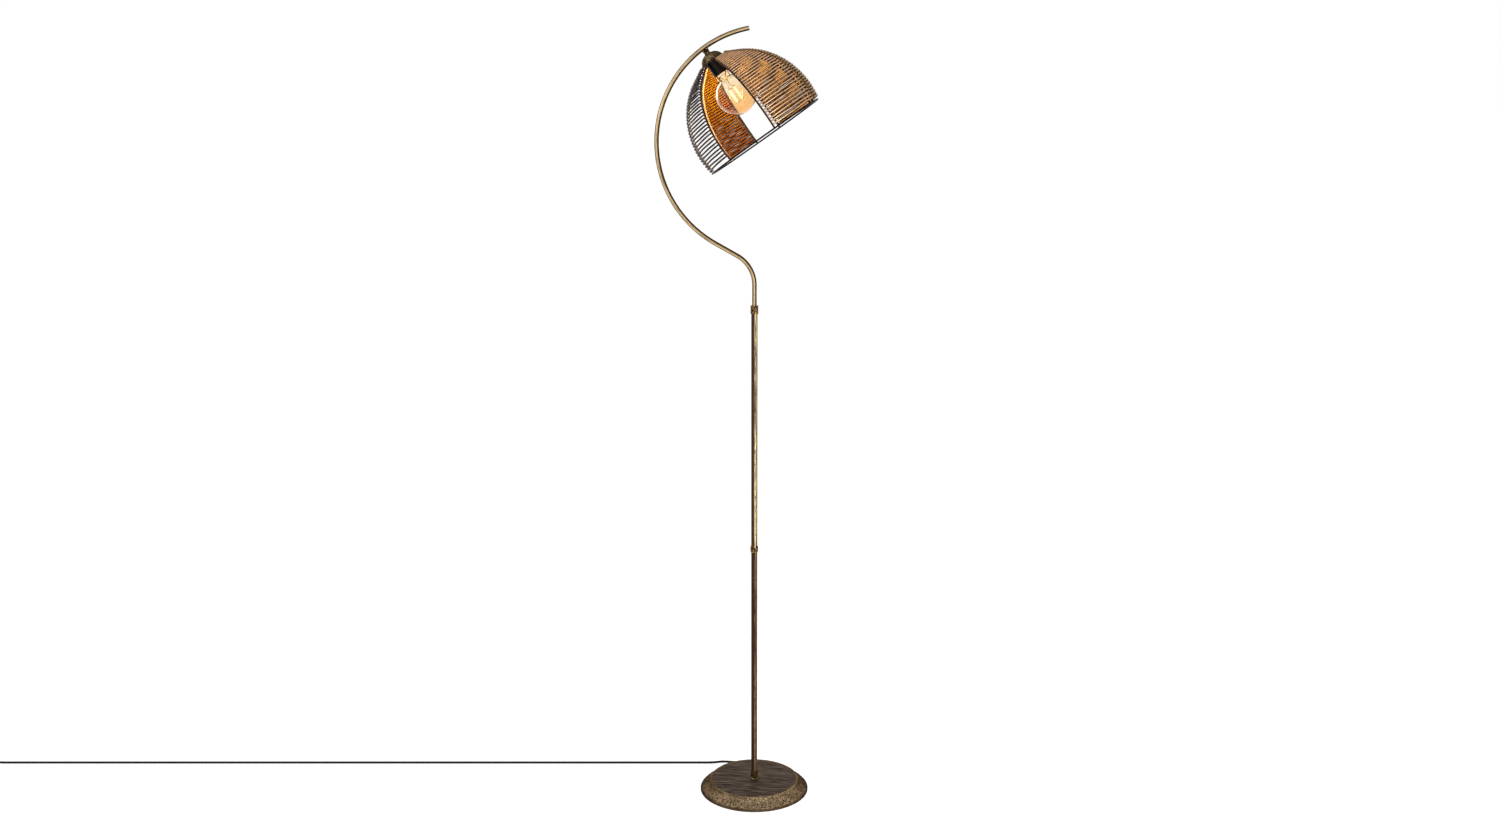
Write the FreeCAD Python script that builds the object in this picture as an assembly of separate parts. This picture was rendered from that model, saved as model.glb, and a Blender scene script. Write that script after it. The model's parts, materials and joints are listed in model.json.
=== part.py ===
import FreeCAD, Part
import math
import os

V = FreeCAD.Vector
UP = V(0, 0, 1)
os.makedirs("parts", exist_ok=True)

# Floor lamp with a hooped arm and an open wire shade. Millimetres, +Z up.
# The origin is on the floor under the pole. The arm bends in the plane y = 0.

# General fits
RUN_FIT = 0.05          # radial clearance of a turning or sliding fit
SEAT_GAP = 0.3          # free space between pieces that rest or turn on each other
GLUE_GAP = 0.1          # free space of a glued or soldered seat
ARC_MIDDLE = math.sqrt(0.5)  # middle of a quarter arc, as a share of its radius

# Base
BASE_R = 115.0          # lip of the cover
BASE_TOP_R = 90.6       # flat top, inside the bead
BASE_TOP_Z = 22.7       # height of the flat top
BEAD_RISE = 0.8         # bead above the flat top
BEAD_WIDTH = 4.2        # bead and its outer shoulder
COVER_WALL = 1.3
LIP_CLEAR = 0.8         # lip above the floor
LIP_TOP = 3.4
LIP_ROUND = 1.4
PAD_INSET = 3.0         # edge of the pad, inside the lip
PAD_THICK = 1.2
PLATE_INSET = 2.0       # edge of the plate, inside the lip
PLATE_THICK = 1.2
WEIGHT_INSET = 4.6      # edge of the weight, inside the flat top
WEIGHT_RECESS_R = 16.0
WEIGHT_RECESS_Z = 14.4
CHANNEL_WIDTH = 13.0    # cable channel under the weight
CHANNEL_TOP = 11.5
OGEE_SWELL = 0.035      # hollow and swell of the band, as a share of its width

# Threaded parts in the base
NIPPLE_R = 5.0
NIPPLE_BORE_R = 3.2
BASE_NIPPLE_IN_POLE = 18.0
BASE_NIPPLE_FOOT = 9.0
BASE_WASHER_R = 11.0
BASE_WASHER_THICK = 1.2
BASE_NUT_R = 8.6
BASE_NUT_HEIGHT = 4.4

# Pole
POLE_R = 6.5
POLE_WALL = 1.2
FERRULE_R = 7.8
FERRULE_HEIGHT = 20.0
FERRULE_FOOT_R = 9.4
FERRULE_FOOT = 2.0
FERRULE_BEVEL = 1.0
POLE_JOINT_Z = 537.0
COLLAR_R = 8.3
COLLAR_HEIGHT = 14.0
COLLAR_END_R = 7.3
JOINT_NIPPLE_LENGTH = 40.0
POLE_TOP_Z = 1038.3
TOP_COLLAR_R = 8.0
TOP_COLLAR_HEIGHT = 8.4
ARM_COLLAR_HEIGHT = 8.4
GROOVE_DEPTH = 0.9
GROOVE_WIDTH = 1.2
RING_BEVEL = 0.7
BUSH_LENGTH = 30.0
POLE_CABLE_R = 2.2

# Arm
ARM_R = 4.6
ARM_WALL = 1.0
HOOP_R = 224.3          # large hoop, centre line
HOOP_X = 29.8           # centre of the hoop
HOOP_RISE = 329.1       # and its height above the top of the pole
BEND_R = 66.0           # bend at the top of the stem
BEND_TURN = 61.0        # degrees, and the hoop's lower tangent
TIP_POLAR = 100.4       # degrees, open end of the hoop
HEAD_POLAR = 125.2      # degrees, where the head hangs
ARM_FOOT_RISE = 2.0     # foot of the arm above the lower end of its bush
ARM_CABLE_R = 2.0
END_PLUG_LENGTH = 6.0
END_PLUG_RECESS = 0.6

# Stem between arm and cup, distances along the shade axis from the arm's centre line
BOSS_R = 6.4
BOSS_END = 8.7
STEM_RING_END = 13.7
RING_NECK_R = 5.0
NECK_HALF = 0.8         # half height of the neck between the two beads
HEAD_NIPPLE_R = 3.4
HEAD_NIPPLE_BORE_R = 2.2
HEAD_NIPPLE_START = 3.7
HEAD_NIPPLE_END = 27.6
HEAD_WIRES_R = 1.8
FIBRE_WASHER_R = 6.0
FIBRE_WASHER_THICK = 0.8
HEAD_NUT_R = 6.5
HEAD_NUT_HEIGHT = 4.5
CUP_R = 23.2
CUP_TOP_R = 6.2
CUP_SHOULDER_OUT = 0.66  # shoulder of the dome, as shares of its width and height
CUP_SHOULDER_DOWN = 0.36
CUP_SHOULDER_FACES = 53.0  # degrees above the level
CUP_WALL = 1.2
CUP_BOTTOM = 28.4

# Lampholder
HOLDER_R = 15.0
HOLDER_WALL = 1.2
HOLDER_END = 60.0
HOLDER_TOP_R = 12.5
HOLDER_CAP_START = 25.0
HOLDER_CAP_BEVEL = 2.0
HOLDER_CORE_THICK = 5.0
SHELL_WALL = 0.35
SHELL_SETBACK = 3.0     # mouth of the screw shell above the mouth of the lampholder
GRIP_START = 6.0        # grip grooves on the lampholder
GRIP_WIDTH = 1.0
GRIP_PITCH = 4.0
GRIP_DEPTH = 0.4
GRIP_COUNT = 2
CONTACT_LENGTH = 14.0
CONTACT_WIDTH = 5.0
CONTACT_THICK = 0.6

# Bulb
BULB_CAP_R = 13.1
BULB_CAP_THREADS = 4
THREAD_DEPTH = 0.9
THREAD_ROOT = 0.2       # places along the pitch where a thread leaves its root
THREAD_CREST = 0.6      # and reaches its crest
CAP_COLLAR = 2.6        # plain collar of the cap next to the glass
CAP_SHEET = 1.0
INSULATOR_R = 9.1
INSULATOR_HEIGHT = 2.4
BULB_CONTACT_R = 4.2
BULB_CONTACT_CROWN_R = 3.4
BULB_CONTACT_HEIGHT = 1.2
BULB_STEM_R = 10.5
BULB_STEM_PINCH_R = 2.6
BULB_STEM_TUBE_R = 4.2
BULB_STEM_GAP = 8.0     # from the pinch to the filaments
BULB_NECK_R = 13.9
BULB_R = 40.0
BULB_CENTRE = 108.7
BULB_GLASS = 0.8
BULB_SHOULDER = 72.0    # where the neck starts to flare
FILAMENT_LENGTH = 28.0
FILAMENT_R = 1.1
FILAMENT_RING_R = 8.5
FILAMENT_COUNT = 4
LEAD_R = 0.45

# Shade, heights from the rim plane towards the arm
SHADE_TOP_FROM_ARM = 29.7  # top of the elliptical outline below the arm's centre line
SHADE_RADIAL = 131.0    # half axis of the outline, across
SHADE_AXIAL = 146.0     # half axis of the outline, along
SHADE_WIDEST = 32.0     # height of the widest place
WIRE_R = 1.85           # wires of the front panels
BACK_WIRE_R = 2.6       # wires of the back panels
SHADE_CONE = 15.0       # straight cone at the top of the outline
RIB_R = 1.9
RIM_WIRE_R = 1.7
TOP_PLATE_R = 26.0
TOP_PLATE_THICK = 1.5
TOP_PLATE_DROP = 1.0    # top plate below the rim of the cup
FIRST_WIRE = 7.2        # along the outline from the rim
TOP_WIRE_R = 31.5       # radius of the outline at the last wire
WIRE_SHORT = 0.3        # wire ends short of the middle of the outer ribs
# Ribs of each panel, degrees round the shade axis, from the front (-Y) towards +X
SHARED_RIB = 74.0       # degrees, both right panels end on it
FRONT_RIGHT_RIBS = (16.8, SHARED_RIB)
BACK_RIGHT_RIBS = (SHARED_RIB, 121.0, 168.5)
BACK_LEFT_RIBS = (194.4, 227.0)
FRONT_LEFT_RIBS = (266.0, 325.8)
FRONT_PITCH = 6.6
BACK_PITCH = 5.9
WIRE_CLIMB = 2.2        # degrees, how the wires of the left panels climb
HAND_BEND = 0.15        # unevenness of the hand-laid wires, as a share of their gap
START_WAVE = 2.3        # radians from wire to wire, of the unevenness at one end
END_WAVE = 3.0          # and at the other end
END_WAVE_AT = 1.9
RIB_STATIONS = 4

# Cord
CORD_R = 2.5
RELIEF_R = 3.6
RELIEF_TIP_R = 2.9
RELIEF_POLAR = 110.6    # degrees, where it passes the lip
RELIEF_HEADING = 171.5  # degrees
RELIEF_OUT = 22.0
RELIEF_IN = 22.0
RELIEF_FLANGE_R = 5.2
RELIEF_FLANGE = 2.0
BASE_CABLE_BEND = 18.0
CORD_EXIT_Z = 6.2
CORD_HEADING = 185.5    # degrees, straight run on the floor
LINK_RUN = 46.0         # from the switch to the coil
TAIL_RUN = 36.0         # from the coil to the plug

# In-line switch
SWITCH_LENGTH = 58.0
SWITCH_WIDTH = 26.0
SWITCH_HEIGHT = 17.0
SWITCH_ROUND = 5.0
SWITCH_WALL = 1.8
SWITCH_END = 12.0       # solid ends that hold the screws
SWITCH_FOOT = 0.1       # underside above the floor
SWITCH_SPLIT_Z = 8.0    # joint of the two shells, and the cord's height there
ROCKER_LENGTH = 17.0
ROCKER_WIDTH = 9.0
ROCKER_RISE = 4.4       # ends above the pin
ROCKER_DIP = 3.5        # middle above the pin
ROCKER_SKIRT = 1.5      # below the pin
ROCKER_THROW = 7.5      # degrees from one end pressed to the other
ROCKER_DEPTH = 3.6      # pin below the top of the case
ROCKER_PIN_R = 1.2
ROCKER_PIN_END = 2.4
ROCKER_GAP = 0.5
CHEEK_LENGTH = 7.0      # lugs that hold the pin
CHEEK_HEIGHT = 4.0
SCREW_R = 1.5
SCREW_HEAD_R = 2.6
SCREW_HEAD_HEIGHT = 2.2
SCREW_LENGTH = 11.0
SCREW_INSET = 7.5

# Coil of spare cord
COIL_TURNS = 4
COIL_OUTER_R = 33.6
COIL_STEP = 5.6         # from turn to turn and from layer to layer
COIL_LOW_Z = 3.8
COIL_STATIONS = 4       # per turn
COIL_CROSSING = 0.25    # turns on each side of the place where it climbs to the upper layer
TIE_WALL = 0.8
TIE_WIDTH = 6.0
TIE_GAP = 0.35
TIE_ROUND = 2.0

# Plug
PLUG_LENGTH = 36.0
PLUG_WIDTH = 25.0
PLUG_HALF_HEIGHT = 7.6
PLUG_AXIS_Z = 7.8
PLUG_NECK = 12.0        # narrow part at the cord
PLUG_NECK_HALF = 4.2
PLUG_FLARE = 10.0
PLUG_ROUND = 2.5
PIN_R = 2.0
PIN_LENGTH = 19.0
PIN_SPACING = 18.6

# Sizes that follow
POLE_BORE_R = POLE_R - POLE_WALL
HOOP_Z = POLE_TOP_Z + HOOP_RISE
ARM_BORE_R = ARM_R - ARM_WALL
WEIGHT_FOOT = PAD_THICK + PLATE_THICK
WEIGHT_TOP = BASE_TOP_Z - COVER_WALL
WEIGHT_R = BASE_TOP_R - WEIGHT_INSET
PAD_R = BASE_R - PAD_INSET
PLATE_R = BASE_R - PLATE_INSET
PLATE_TOP = CUP_BOTTOM + TOP_PLATE_DROP
PLATE_LOW = PLATE_TOP + TOP_PLATE_THICK
CORE_TOP = HEAD_NIPPLE_END + GLUE_GAP
CORE_LOW = CORE_TOP + HOLDER_CORE_THICK
BULB_CAP_START = CORE_LOW + CONTACT_THICK + SEAT_GAP + BULB_CONTACT_HEIGHT + INSULATOR_HEIGHT
SHADE_RIM_FROM_ARM = SHADE_WIDEST + SHADE_AXIAL + SHADE_TOP_FROM_ARM
CONE_FROM = SHADE_WIDEST + SHADE_AXIAL - SHADE_CONE
WIRE_SEAT = 2 * WIRE_R  # outer side of the ribs, inside the shade's outline
RIB_INSET = WIRE_SEAT + GLUE_GAP + RIB_R


def polar(radius, degrees, z=0.0):
    a = math.radians(degrees)
    return V(radius * math.cos(a), radius * math.sin(a), z)


def outline(points):
    """Closed face in the plane y = 0 from (radius, z) corners."""
    corners = [V(r, 0, z) for r, z in points]
    return Part.Face(Part.makePolygon(corners + corners[:1]))


def turned(points):
    """Solid of revolution about Z from (radius, z) corners."""
    return outline(points).revolve(V(0, 0, 0), UP, 360)


def ring(outer, inner, z0, z1):
    body = Part.makeCylinder(outer, z1 - z0, V(0, 0, z0))
    if inner > 0:
        body = body.cut(Part.makeCylinder(inner, z1 - z0, V(0, 0, z0)))
    return body


def hexagon(across_r, bore_r, z0, z1):
    corners = [polar(across_r, 60 * i, z0) for i in range(6)]
    face = Part.Face(Part.makePolygon(corners + corners[:1]))
    return face.extrude(V(0, 0, z1 - z0)).cut(Part.makeCylinder(bore_r, z1 - z0, V(0, 0, z0)))


def export(name, shape):
    shape.exportStep("parts/" + name + ".step")


def circle_wire(centre, direction, radius):
    return Part.Wire([Part.Circle(centre, direction, radius).toShape()])


def tube(path, start, heading, outer, inner=0.0):
    """Round tube or rod swept along a wire of lines and arcs."""
    solid = path.makePipeShell([circle_wire(start, heading, outer)], True, False)
    if inner > 0:
        solid = solid.cut(path.makePipeShell([circle_wire(start, heading, inner)], True, False))
    return solid


def arc_by_tangent(p0, t0, p1, backwards=False):
    """Arc, or line, that leaves p0 along t0 and ends in p1, or runs back from p1."""
    ends = (p1, p0) if backwards else (p0, p1)
    chord = p1 - p0
    side = t0.cross(chord)
    if side.Length < 1e-7 * chord.Length:
        return Part.LineSegment(*ends).toShape()
    to_centre = side.cross(t0).normalize()
    radius = chord.Length ** 2 / (2 * to_centre.dot(chord))
    centre = p0 + to_centre * radius
    middle = (p0 + p1) * 0.5 - centre
    return Part.Arc(ends[0], centre + middle.normalize() * radius, ends[1]).toShape()


def biarc(p0, t0, p1, t1):
    """Two arcs that leave p0 along t0 and reach p1 along t1 without a kink."""
    gap = p1 - p0
    a = 2 * (1 - t0.dot(t1))
    b = gap.dot(t0 + t1)
    if a < 1e-9:
        reach = gap.dot(gap) / (4 * gap.dot(t1))
    else:
        reach = (-b + math.sqrt(b * b + a * gap.dot(gap))) / a
    joint = (p0 + t0 * reach + p1 - t1 * reach) * 0.5
    return [arc_by_tangent(p0, t0, joint), arc_by_tangent(p1, t1 * -1, joint, backwards=True)]


def rounded_route(points):
    """Straight runs joined by the largest tangent arcs, with the arcs' radii."""
    edges = []
    radii = []
    start = points[0]
    for i in range(1, len(points) - 1):
        back = points[i - 1] - points[i]
        ahead = points[i + 1] - points[i]
        turn = math.pi - back.getAngle(ahead)
        trim = 0.45 * min(back.Length, ahead.Length)
        radius = trim / math.tan(turn / 2)
        first = points[i] + back.normalize() * trim
        last = points[i] + ahead.normalize() * trim
        inward = (back + ahead).normalize()
        centre = points[i] + inward * (radius / math.cos(turn / 2))
        edges.append(Part.LineSegment(start, first).toShape())
        edges.append(Part.Arc(first, centre - inward * radius, last).toShape())
        radii.append(radius)
        start = last
    edges.append(Part.LineSegment(start, points[-1]).toShape())
    return Part.Wire(edges), radii


def cord_tube(name, points):
    """Free stretch of cord along hand-chosen points."""
    path, radii = rounded_route(points)
    solid = tube(path, points[0], points[1] - points[0], CORD_R)
    expected = math.pi * CORD_R ** 2 * path.Length
    print(name, "length", round(path.Length, 1), "radii", [round(r) for r in radii],
          "volume ratio", round(solid.Volume / expected, 4))
    export(name, solid)
    return path.Length


# Pieces of the head are drawn about Z with the arm's centre line at z = 0
# and the rim below it, then laid along the tilted shade axis.
HEAD_POINT = V(HOOP_X, 0, HOOP_Z) + V(math.cos(math.radians(HEAD_POLAR)), 0,
                                      math.sin(math.radians(HEAD_POLAR))) * HOOP_R
HEAD_TILT = 90.0 - HEAD_POLAR


def on_head(shape):
    placed = shape.copy()
    placed.rotate(V(0, 0, 0), V(0, 1, 0), HEAD_TILT)
    placed.translate(HEAD_POINT)
    return placed


def cover_profile(inset):
    """Outer line of the base cover from the lip to the bead, moved in by the wall."""
    def at(r, z):
        return V(r - inset, 0, z - inset)
    lip = V(BASE_R - inset, 0, LIP_CLEAR)
    lip_top = at(BASE_R, LIP_TOP)
    shoulder = at(BASE_R - LIP_ROUND, LIP_TOP + LIP_ROUND)
    bead_out = at(BASE_TOP_R + BEAD_WIDTH, BASE_TOP_Z - BEAD_WIDTH / 2)
    middle = (shoulder + bead_out) * 0.5
    flat = at(BASE_TOP_R, BASE_TOP_Z)
    bead_top = at(BASE_TOP_R + BEAD_WIDTH / 2, BASE_TOP_Z + BEAD_RISE)
    across = (bead_out - shoulder).cross(V(0, 1, 0)).normalize()
    bulge = (bead_out - shoulder).Length * OGEE_SWELL
    hollow = (shoulder + middle) * 0.5 - across * bulge
    swell = (middle + bead_out) * 0.5 + across * bulge
    corner = at(BASE_R - LIP_ROUND * (1 - ARC_MIDDLE), LIP_TOP + LIP_ROUND * ARC_MIDDLE)
    edges = [Part.LineSegment(lip, lip_top).toShape(),
             Part.Arc(lip_top, corner, shoulder).toShape(),
             Part.Arc(shoulder, hollow, middle).toShape(),
             Part.Arc(middle, swell, bead_out).toShape(),
             Part.Arc(bead_out, bead_top, flat).toShape()]
    return edges, lip, flat


def relief_line(distance):
    """Point on the cord's way out, measured from where it passes the lip."""
    a = math.radians(RELIEF_HEADING)
    start = polar(BASE_R, RELIEF_POLAR, CORD_EXIT_Z)
    return start + V(math.cos(a), math.sin(a), 0) * distance


def base_cover():
    outer, lip, flat = cover_profile(0.0)
    inner, inner_lip, inner_flat = cover_profile(COVER_WALL)
    hole_top = V(NIPPLE_R + RUN_FIT, 0, flat.z)
    hole_low = V(NIPPLE_R + RUN_FIT, 0, inner_flat.z)
    edges = outer + inner
    edges.append(Part.LineSegment(flat, hole_top).toShape())
    edges.append(Part.LineSegment(hole_top, hole_low).toShape())
    edges.append(Part.LineSegment(hole_low, inner_flat).toShape())
    edges.append(Part.LineSegment(inner_lip, lip).toShape())
    face = Part.Face(Part.Wire(Part.__sortEdges__(edges)))
    shell = face.revolve(V(0, 0, 0), UP, 360)
    way = relief_line(RELIEF_OUT) - relief_line(-RELIEF_OUT)
    drill = Part.makeCylinder(RELIEF_R + GLUE_GAP, way.Length, relief_line(-RELIEF_OUT), way)
    export("base_cover", shell.cut(drill))


def cable_channel():
    """Way of the cable under the weight, from the recess to the back edge."""
    reach = V(-CHANNEL_WIDTH / 2, 0, WEIGHT_FOOT)
    return Part.makeBox(CHANNEL_WIDTH, BASE_R, CHANNEL_TOP - WEIGHT_FOOT, reach)


def base_weight():
    body = ring(WEIGHT_R, NIPPLE_R + RUN_FIT, WEIGHT_FOOT, WEIGHT_TOP)
    recess = Part.makeCylinder(WEIGHT_RECESS_R, WEIGHT_RECESS_Z - WEIGHT_FOOT, V(0, 0, WEIGHT_FOOT))
    body = body.cut(recess).cut(cable_channel())
    export("base_weight", body)


def base_floor():
    export("base_pad", ring(PAD_R, 0, 0, PAD_THICK))
    export("base_plate", ring(PLATE_R, 0, PAD_THICK, WEIGHT_FOOT))


def base_fasteners():
    nipple_top = BASE_TOP_Z + BASE_NIPPLE_IN_POLE
    export("base_nipple", ring(NIPPLE_R, NIPPLE_BORE_R, BASE_NIPPLE_FOOT, nipple_top))
    washer_low = WEIGHT_RECESS_Z - BASE_WASHER_THICK
    export("base_washer", ring(BASE_WASHER_R, NIPPLE_R + RUN_FIT, washer_low, WEIGHT_RECESS_Z))
    nut_low = washer_low - BASE_NUT_HEIGHT
    export("base_nut", hexagon(BASE_NUT_R, NIPPLE_R + RUN_FIT, nut_low, washer_low))


def cover_room():
    """Free space between the plate and the inside of the base cover."""
    inner, lip, flat = cover_profile(COVER_WALL + GLUE_GAP)
    axis_top = V(0, 0, flat.z)
    edges = inner + [Part.LineSegment(flat, axis_top).toShape(),
                     Part.LineSegment(axis_top, V(0, 0, lip.z)).toShape(),
                     Part.LineSegment(V(0, 0, lip.z), lip).toShape()]
    face = Part.Face(Part.Wire(Part.__sortEdges__(edges)))
    room = face.revolve(V(0, 0, 0), UP, 360)
    return room.cut(Part.makeCylinder(BASE_R, WEIGHT_FOOT))


def strain_relief():
    """Moulded sleeve through the base cover, with a foot inside that fills the corner there."""
    length = RELIEF_IN + RELIEF_OUT
    sleeve = turned([(0, 0), (RELIEF_R, 0), (RELIEF_R, RELIEF_IN), (RELIEF_TIP_R, length),
                     (0, length)])
    foot = Part.makeCylinder(RELIEF_FLANGE_R, RELIEF_FLANGE)
    for piece in (sleeve, foot):
        piece.rotate(V(0, 0, 0), V(0, 1, 0), 90)
        piece.rotate(V(0, 0, 0), UP, RELIEF_HEADING)
        piece.translate(relief_line(-RELIEF_IN))
    export("cord_strain_relief", sleeve.fuse(foot.common(cover_room())).removeSplitter())


def base_cable():
    """Cable from the strain relief, round the weight and under the nipple."""
    start = relief_line(-RELIEF_IN)
    along = relief_line(0) - relief_line(1)
    corner = start + along * (start.x / -along.x)
    end = V(0, POLE_CABLE_R + GLUE_GAP, CORD_EXIT_Z)
    trim = BASE_CABLE_BEND * math.tan(along.getAngle(V(0, -1, 0)) / 2)
    first = corner - along * trim
    last = corner + V(0, -trim, 0)
    edges = [Part.LineSegment(start, first).toShape(),
             arc_by_tangent(first, along, last),
             Part.LineSegment(last, end).toShape()]
    export("base_cable", tube(Part.Wire(edges), start, along, CORD_R))


def pole():
    fit_r = POLE_R + RUN_FIT
    foot = BASE_TOP_Z + FERRULE_FOOT
    top = BASE_TOP_Z + FERRULE_HEIGHT
    ferrule = turned([(fit_r, BASE_TOP_Z), (FERRULE_FOOT_R, BASE_TOP_Z), (FERRULE_FOOT_R, foot),
                      (FERRULE_R, foot + FERRULE_FOOT_R - FERRULE_R), (FERRULE_R, top - FERRULE_BEVEL),
                      (FERRULE_R - FERRULE_BEVEL, top), (fit_r, top)])
    export("base_ferrule", ferrule)
    export("lower_pole", ring(POLE_R, POLE_BORE_R, BASE_TOP_Z, POLE_JOINT_Z))
    export("upper_pole", ring(POLE_R, POLE_BORE_R, POLE_JOINT_Z, POLE_TOP_Z))
    low = POLE_JOINT_Z - COLLAR_HEIGHT / 2
    high = POLE_JOINT_Z + COLLAR_HEIGHT / 2
    export("pole_collar", barrel(fit_r, COLLAR_R, COLLAR_END_R, low, high))
    half = JOINT_NIPPLE_LENGTH / 2
    export("pole_joint_nipple", ring(POLE_BORE_R - RUN_FIT, NIPPLE_BORE_R,
                                     POLE_JOINT_Z - half, POLE_JOINT_Z + half))
    export("pole_cable", ring(POLE_CABLE_R, 0, CORD_EXIT_Z - CORD_R,
                              POLE_TOP_Z - BUSH_LENGTH - SEAT_GAP))


def barrel(bore, middle_r, end_r, low, high):
    """Turned ring with a full belly and narrower ends."""
    inner_low = V(bore, 0, low)
    outer_low = V(end_r, 0, low)
    outer_high = V(end_r, 0, high)
    inner_high = V(bore, 0, high)
    belly = V(middle_r, 0, (low + high) / 2)
    edges = [Part.LineSegment(inner_low, outer_low).toShape(),
             Part.Arc(outer_low, belly, outer_high).toShape(),
             Part.LineSegment(outer_high, inner_high).toShape(),
             Part.LineSegment(inner_high, inner_low).toShape()]
    return Part.Face(Part.Wire(edges)).revolve(V(0, 0, 0), UP, 360)


def grooved_ring(bore, outer, low, high):
    """Turned ring with two beads and a groove between them."""
    middle = (low + high) / 2
    below = middle - GROOVE_WIDTH / 2
    above = middle + GROOVE_WIDTH / 2
    return turned([(bore, low), (outer - RING_BEVEL, low), (outer, low + RING_BEVEL),
                   (outer, below), (outer - GROOVE_DEPTH, below),
                   (outer - GROOVE_DEPTH, above), (outer, above),
                   (outer, high - RING_BEVEL), (outer - RING_BEVEL, high), (bore, high)])


def arm_foot():
    """Swivel of the arm: bush and ring on the pole, ring on the arm."""
    export("top_collar", grooved_ring(POLE_R + RUN_FIT, TOP_COLLAR_R,
                                      POLE_TOP_Z - TOP_COLLAR_HEIGHT, POLE_TOP_Z))
    export("swivel_bush", ring(POLE_BORE_R - RUN_FIT, ARM_R + RUN_FIT,
                               POLE_TOP_Z - BUSH_LENGTH, POLE_TOP_Z))
    low = POLE_TOP_Z + SEAT_GAP
    export("arm_collar", grooved_ring(ARM_R + GLUE_GAP, TOP_COLLAR_R, low, low + ARM_COLLAR_HEIGHT))


def arm_path(start_z, end_polar):
    """Centre line of the arm from its foot to a place on the hoop."""
    turn = math.radians(BEND_TURN)
    corner_z = HOOP_Z - (HOOP_R - HOOP_X * math.cos(turn)) / math.sin(turn)
    trim = BEND_R * math.tan(turn / 2)
    foot = V(0, 0, start_z)
    bend_low = V(0, 0, corner_z - trim)
    bend_high = V(-trim * math.sin(turn), 0, corner_z + trim * math.cos(turn))
    centre = V(HOOP_X, 0, HOOP_Z)

    def on_hoop(degrees):
        a = math.radians(degrees)
        return centre + V(math.cos(a), 0, math.sin(a)) * HOOP_R

    hoop_low = on_hoop(180.0 + BEND_TURN)
    middle = on_hoop((180.0 + BEND_TURN + end_polar) / 2)
    edges = [Part.LineSegment(foot, bend_low).toShape(),
             arc_by_tangent(bend_low, UP, bend_high),
             Part.LineSegment(bend_high, hoop_low).toShape(),
             Part.Arc(hoop_low, middle, on_hoop(end_polar)).toShape()]
    return Part.Wire(edges), foot


def arm():
    foot_z = POLE_TOP_Z - BUSH_LENGTH + ARM_FOOT_RISE
    path, foot = arm_path(foot_z, TIP_POLAR)
    full = tube(path, foot, UP, ARM_R)
    body = full.cut(tube(path, foot, UP, ARM_BORE_R))
    drill = Part.makeCylinder(HEAD_NIPPLE_R + RUN_FIT, 2 * ARM_R, V(0, 0, -2 * ARM_R))
    export("arm_tube", body.cut(on_head(drill)))

    bore = HEAD_NIPPLE_R + RUN_FIT
    boss = turned([(bore, -ARM_BORE_R), (BOSS_R, -ARM_BORE_R), (BOSS_R, RING_BEVEL - BOSS_END),
                   (BOSS_R - RING_BEVEL, -BOSS_END), (bore, -BOSS_END)])
    export("arm_boss", on_head(boss).cut(full))

    cable, cable_foot = arm_path(foot_z, HEAD_POLAR)
    export("arm_cable", tube(cable, cable_foot, UP, ARM_CABLE_R))


def arm_end_plug():
    """Small plug just inside the open end of the hoop."""
    plug_r = ARM_BORE_R - GLUE_GAP
    a = math.radians(TIP_POLAR)
    tip = V(HOOP_X + HOOP_R * math.cos(a), 0, HOOP_Z + HOOP_R * math.sin(a))
    heading = V(math.sin(a), 0, -math.cos(a))
    inner = tip - heading * (END_PLUG_LENGTH + END_PLUG_RECESS)
    export("arm_end_plug", Part.makeCylinder(plug_r, END_PLUG_LENGTH, inner, heading))


def head_fixing():
    """Hollow nipple through the arm, and what it carries the head on."""
    export("head_nipple", on_head(ring(HEAD_NIPPLE_R, HEAD_NIPPLE_BORE_R,
                                       -HEAD_NIPPLE_END, -HEAD_NIPPLE_START)))
    export("head_wires", on_head(ring(HEAD_WIRES_R, 0, -HEAD_NIPPLE_END,
                                      -ARM_CABLE_R - SEAT_GAP)))
    bore = HEAD_NIPPLE_R + RUN_FIT
    top = BOSS_END + SEAT_GAP
    middle = (top + STEM_RING_END) / 2
    throat = NECK_HALF - (BOSS_R - RING_NECK_R) / 3
    stem_ring = turned([(bore, -STEM_RING_END), (BOSS_R, -STEM_RING_END),
                        (BOSS_R, -middle - NECK_HALF), (RING_NECK_R, -middle - throat),
                        (RING_NECK_R, -middle + throat), (BOSS_R, -middle + NECK_HALF),
                        (BOSS_R - RING_BEVEL, -top), (bore, -top)])
    export("stem_ring", on_head(stem_ring))
    washer_top = STEM_RING_END + GLUE_GAP + CUP_WALL
    washer_low = washer_top + FIBRE_WASHER_THICK
    export("fibre_washer", on_head(ring(FIBRE_WASHER_R, bore, -washer_low, -washer_top)))
    nut_top = washer_low
    export("head_nut", on_head(hexagon(HEAD_NUT_R, bore, -nut_top - HEAD_NUT_HEIGHT, -nut_top)))


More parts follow.
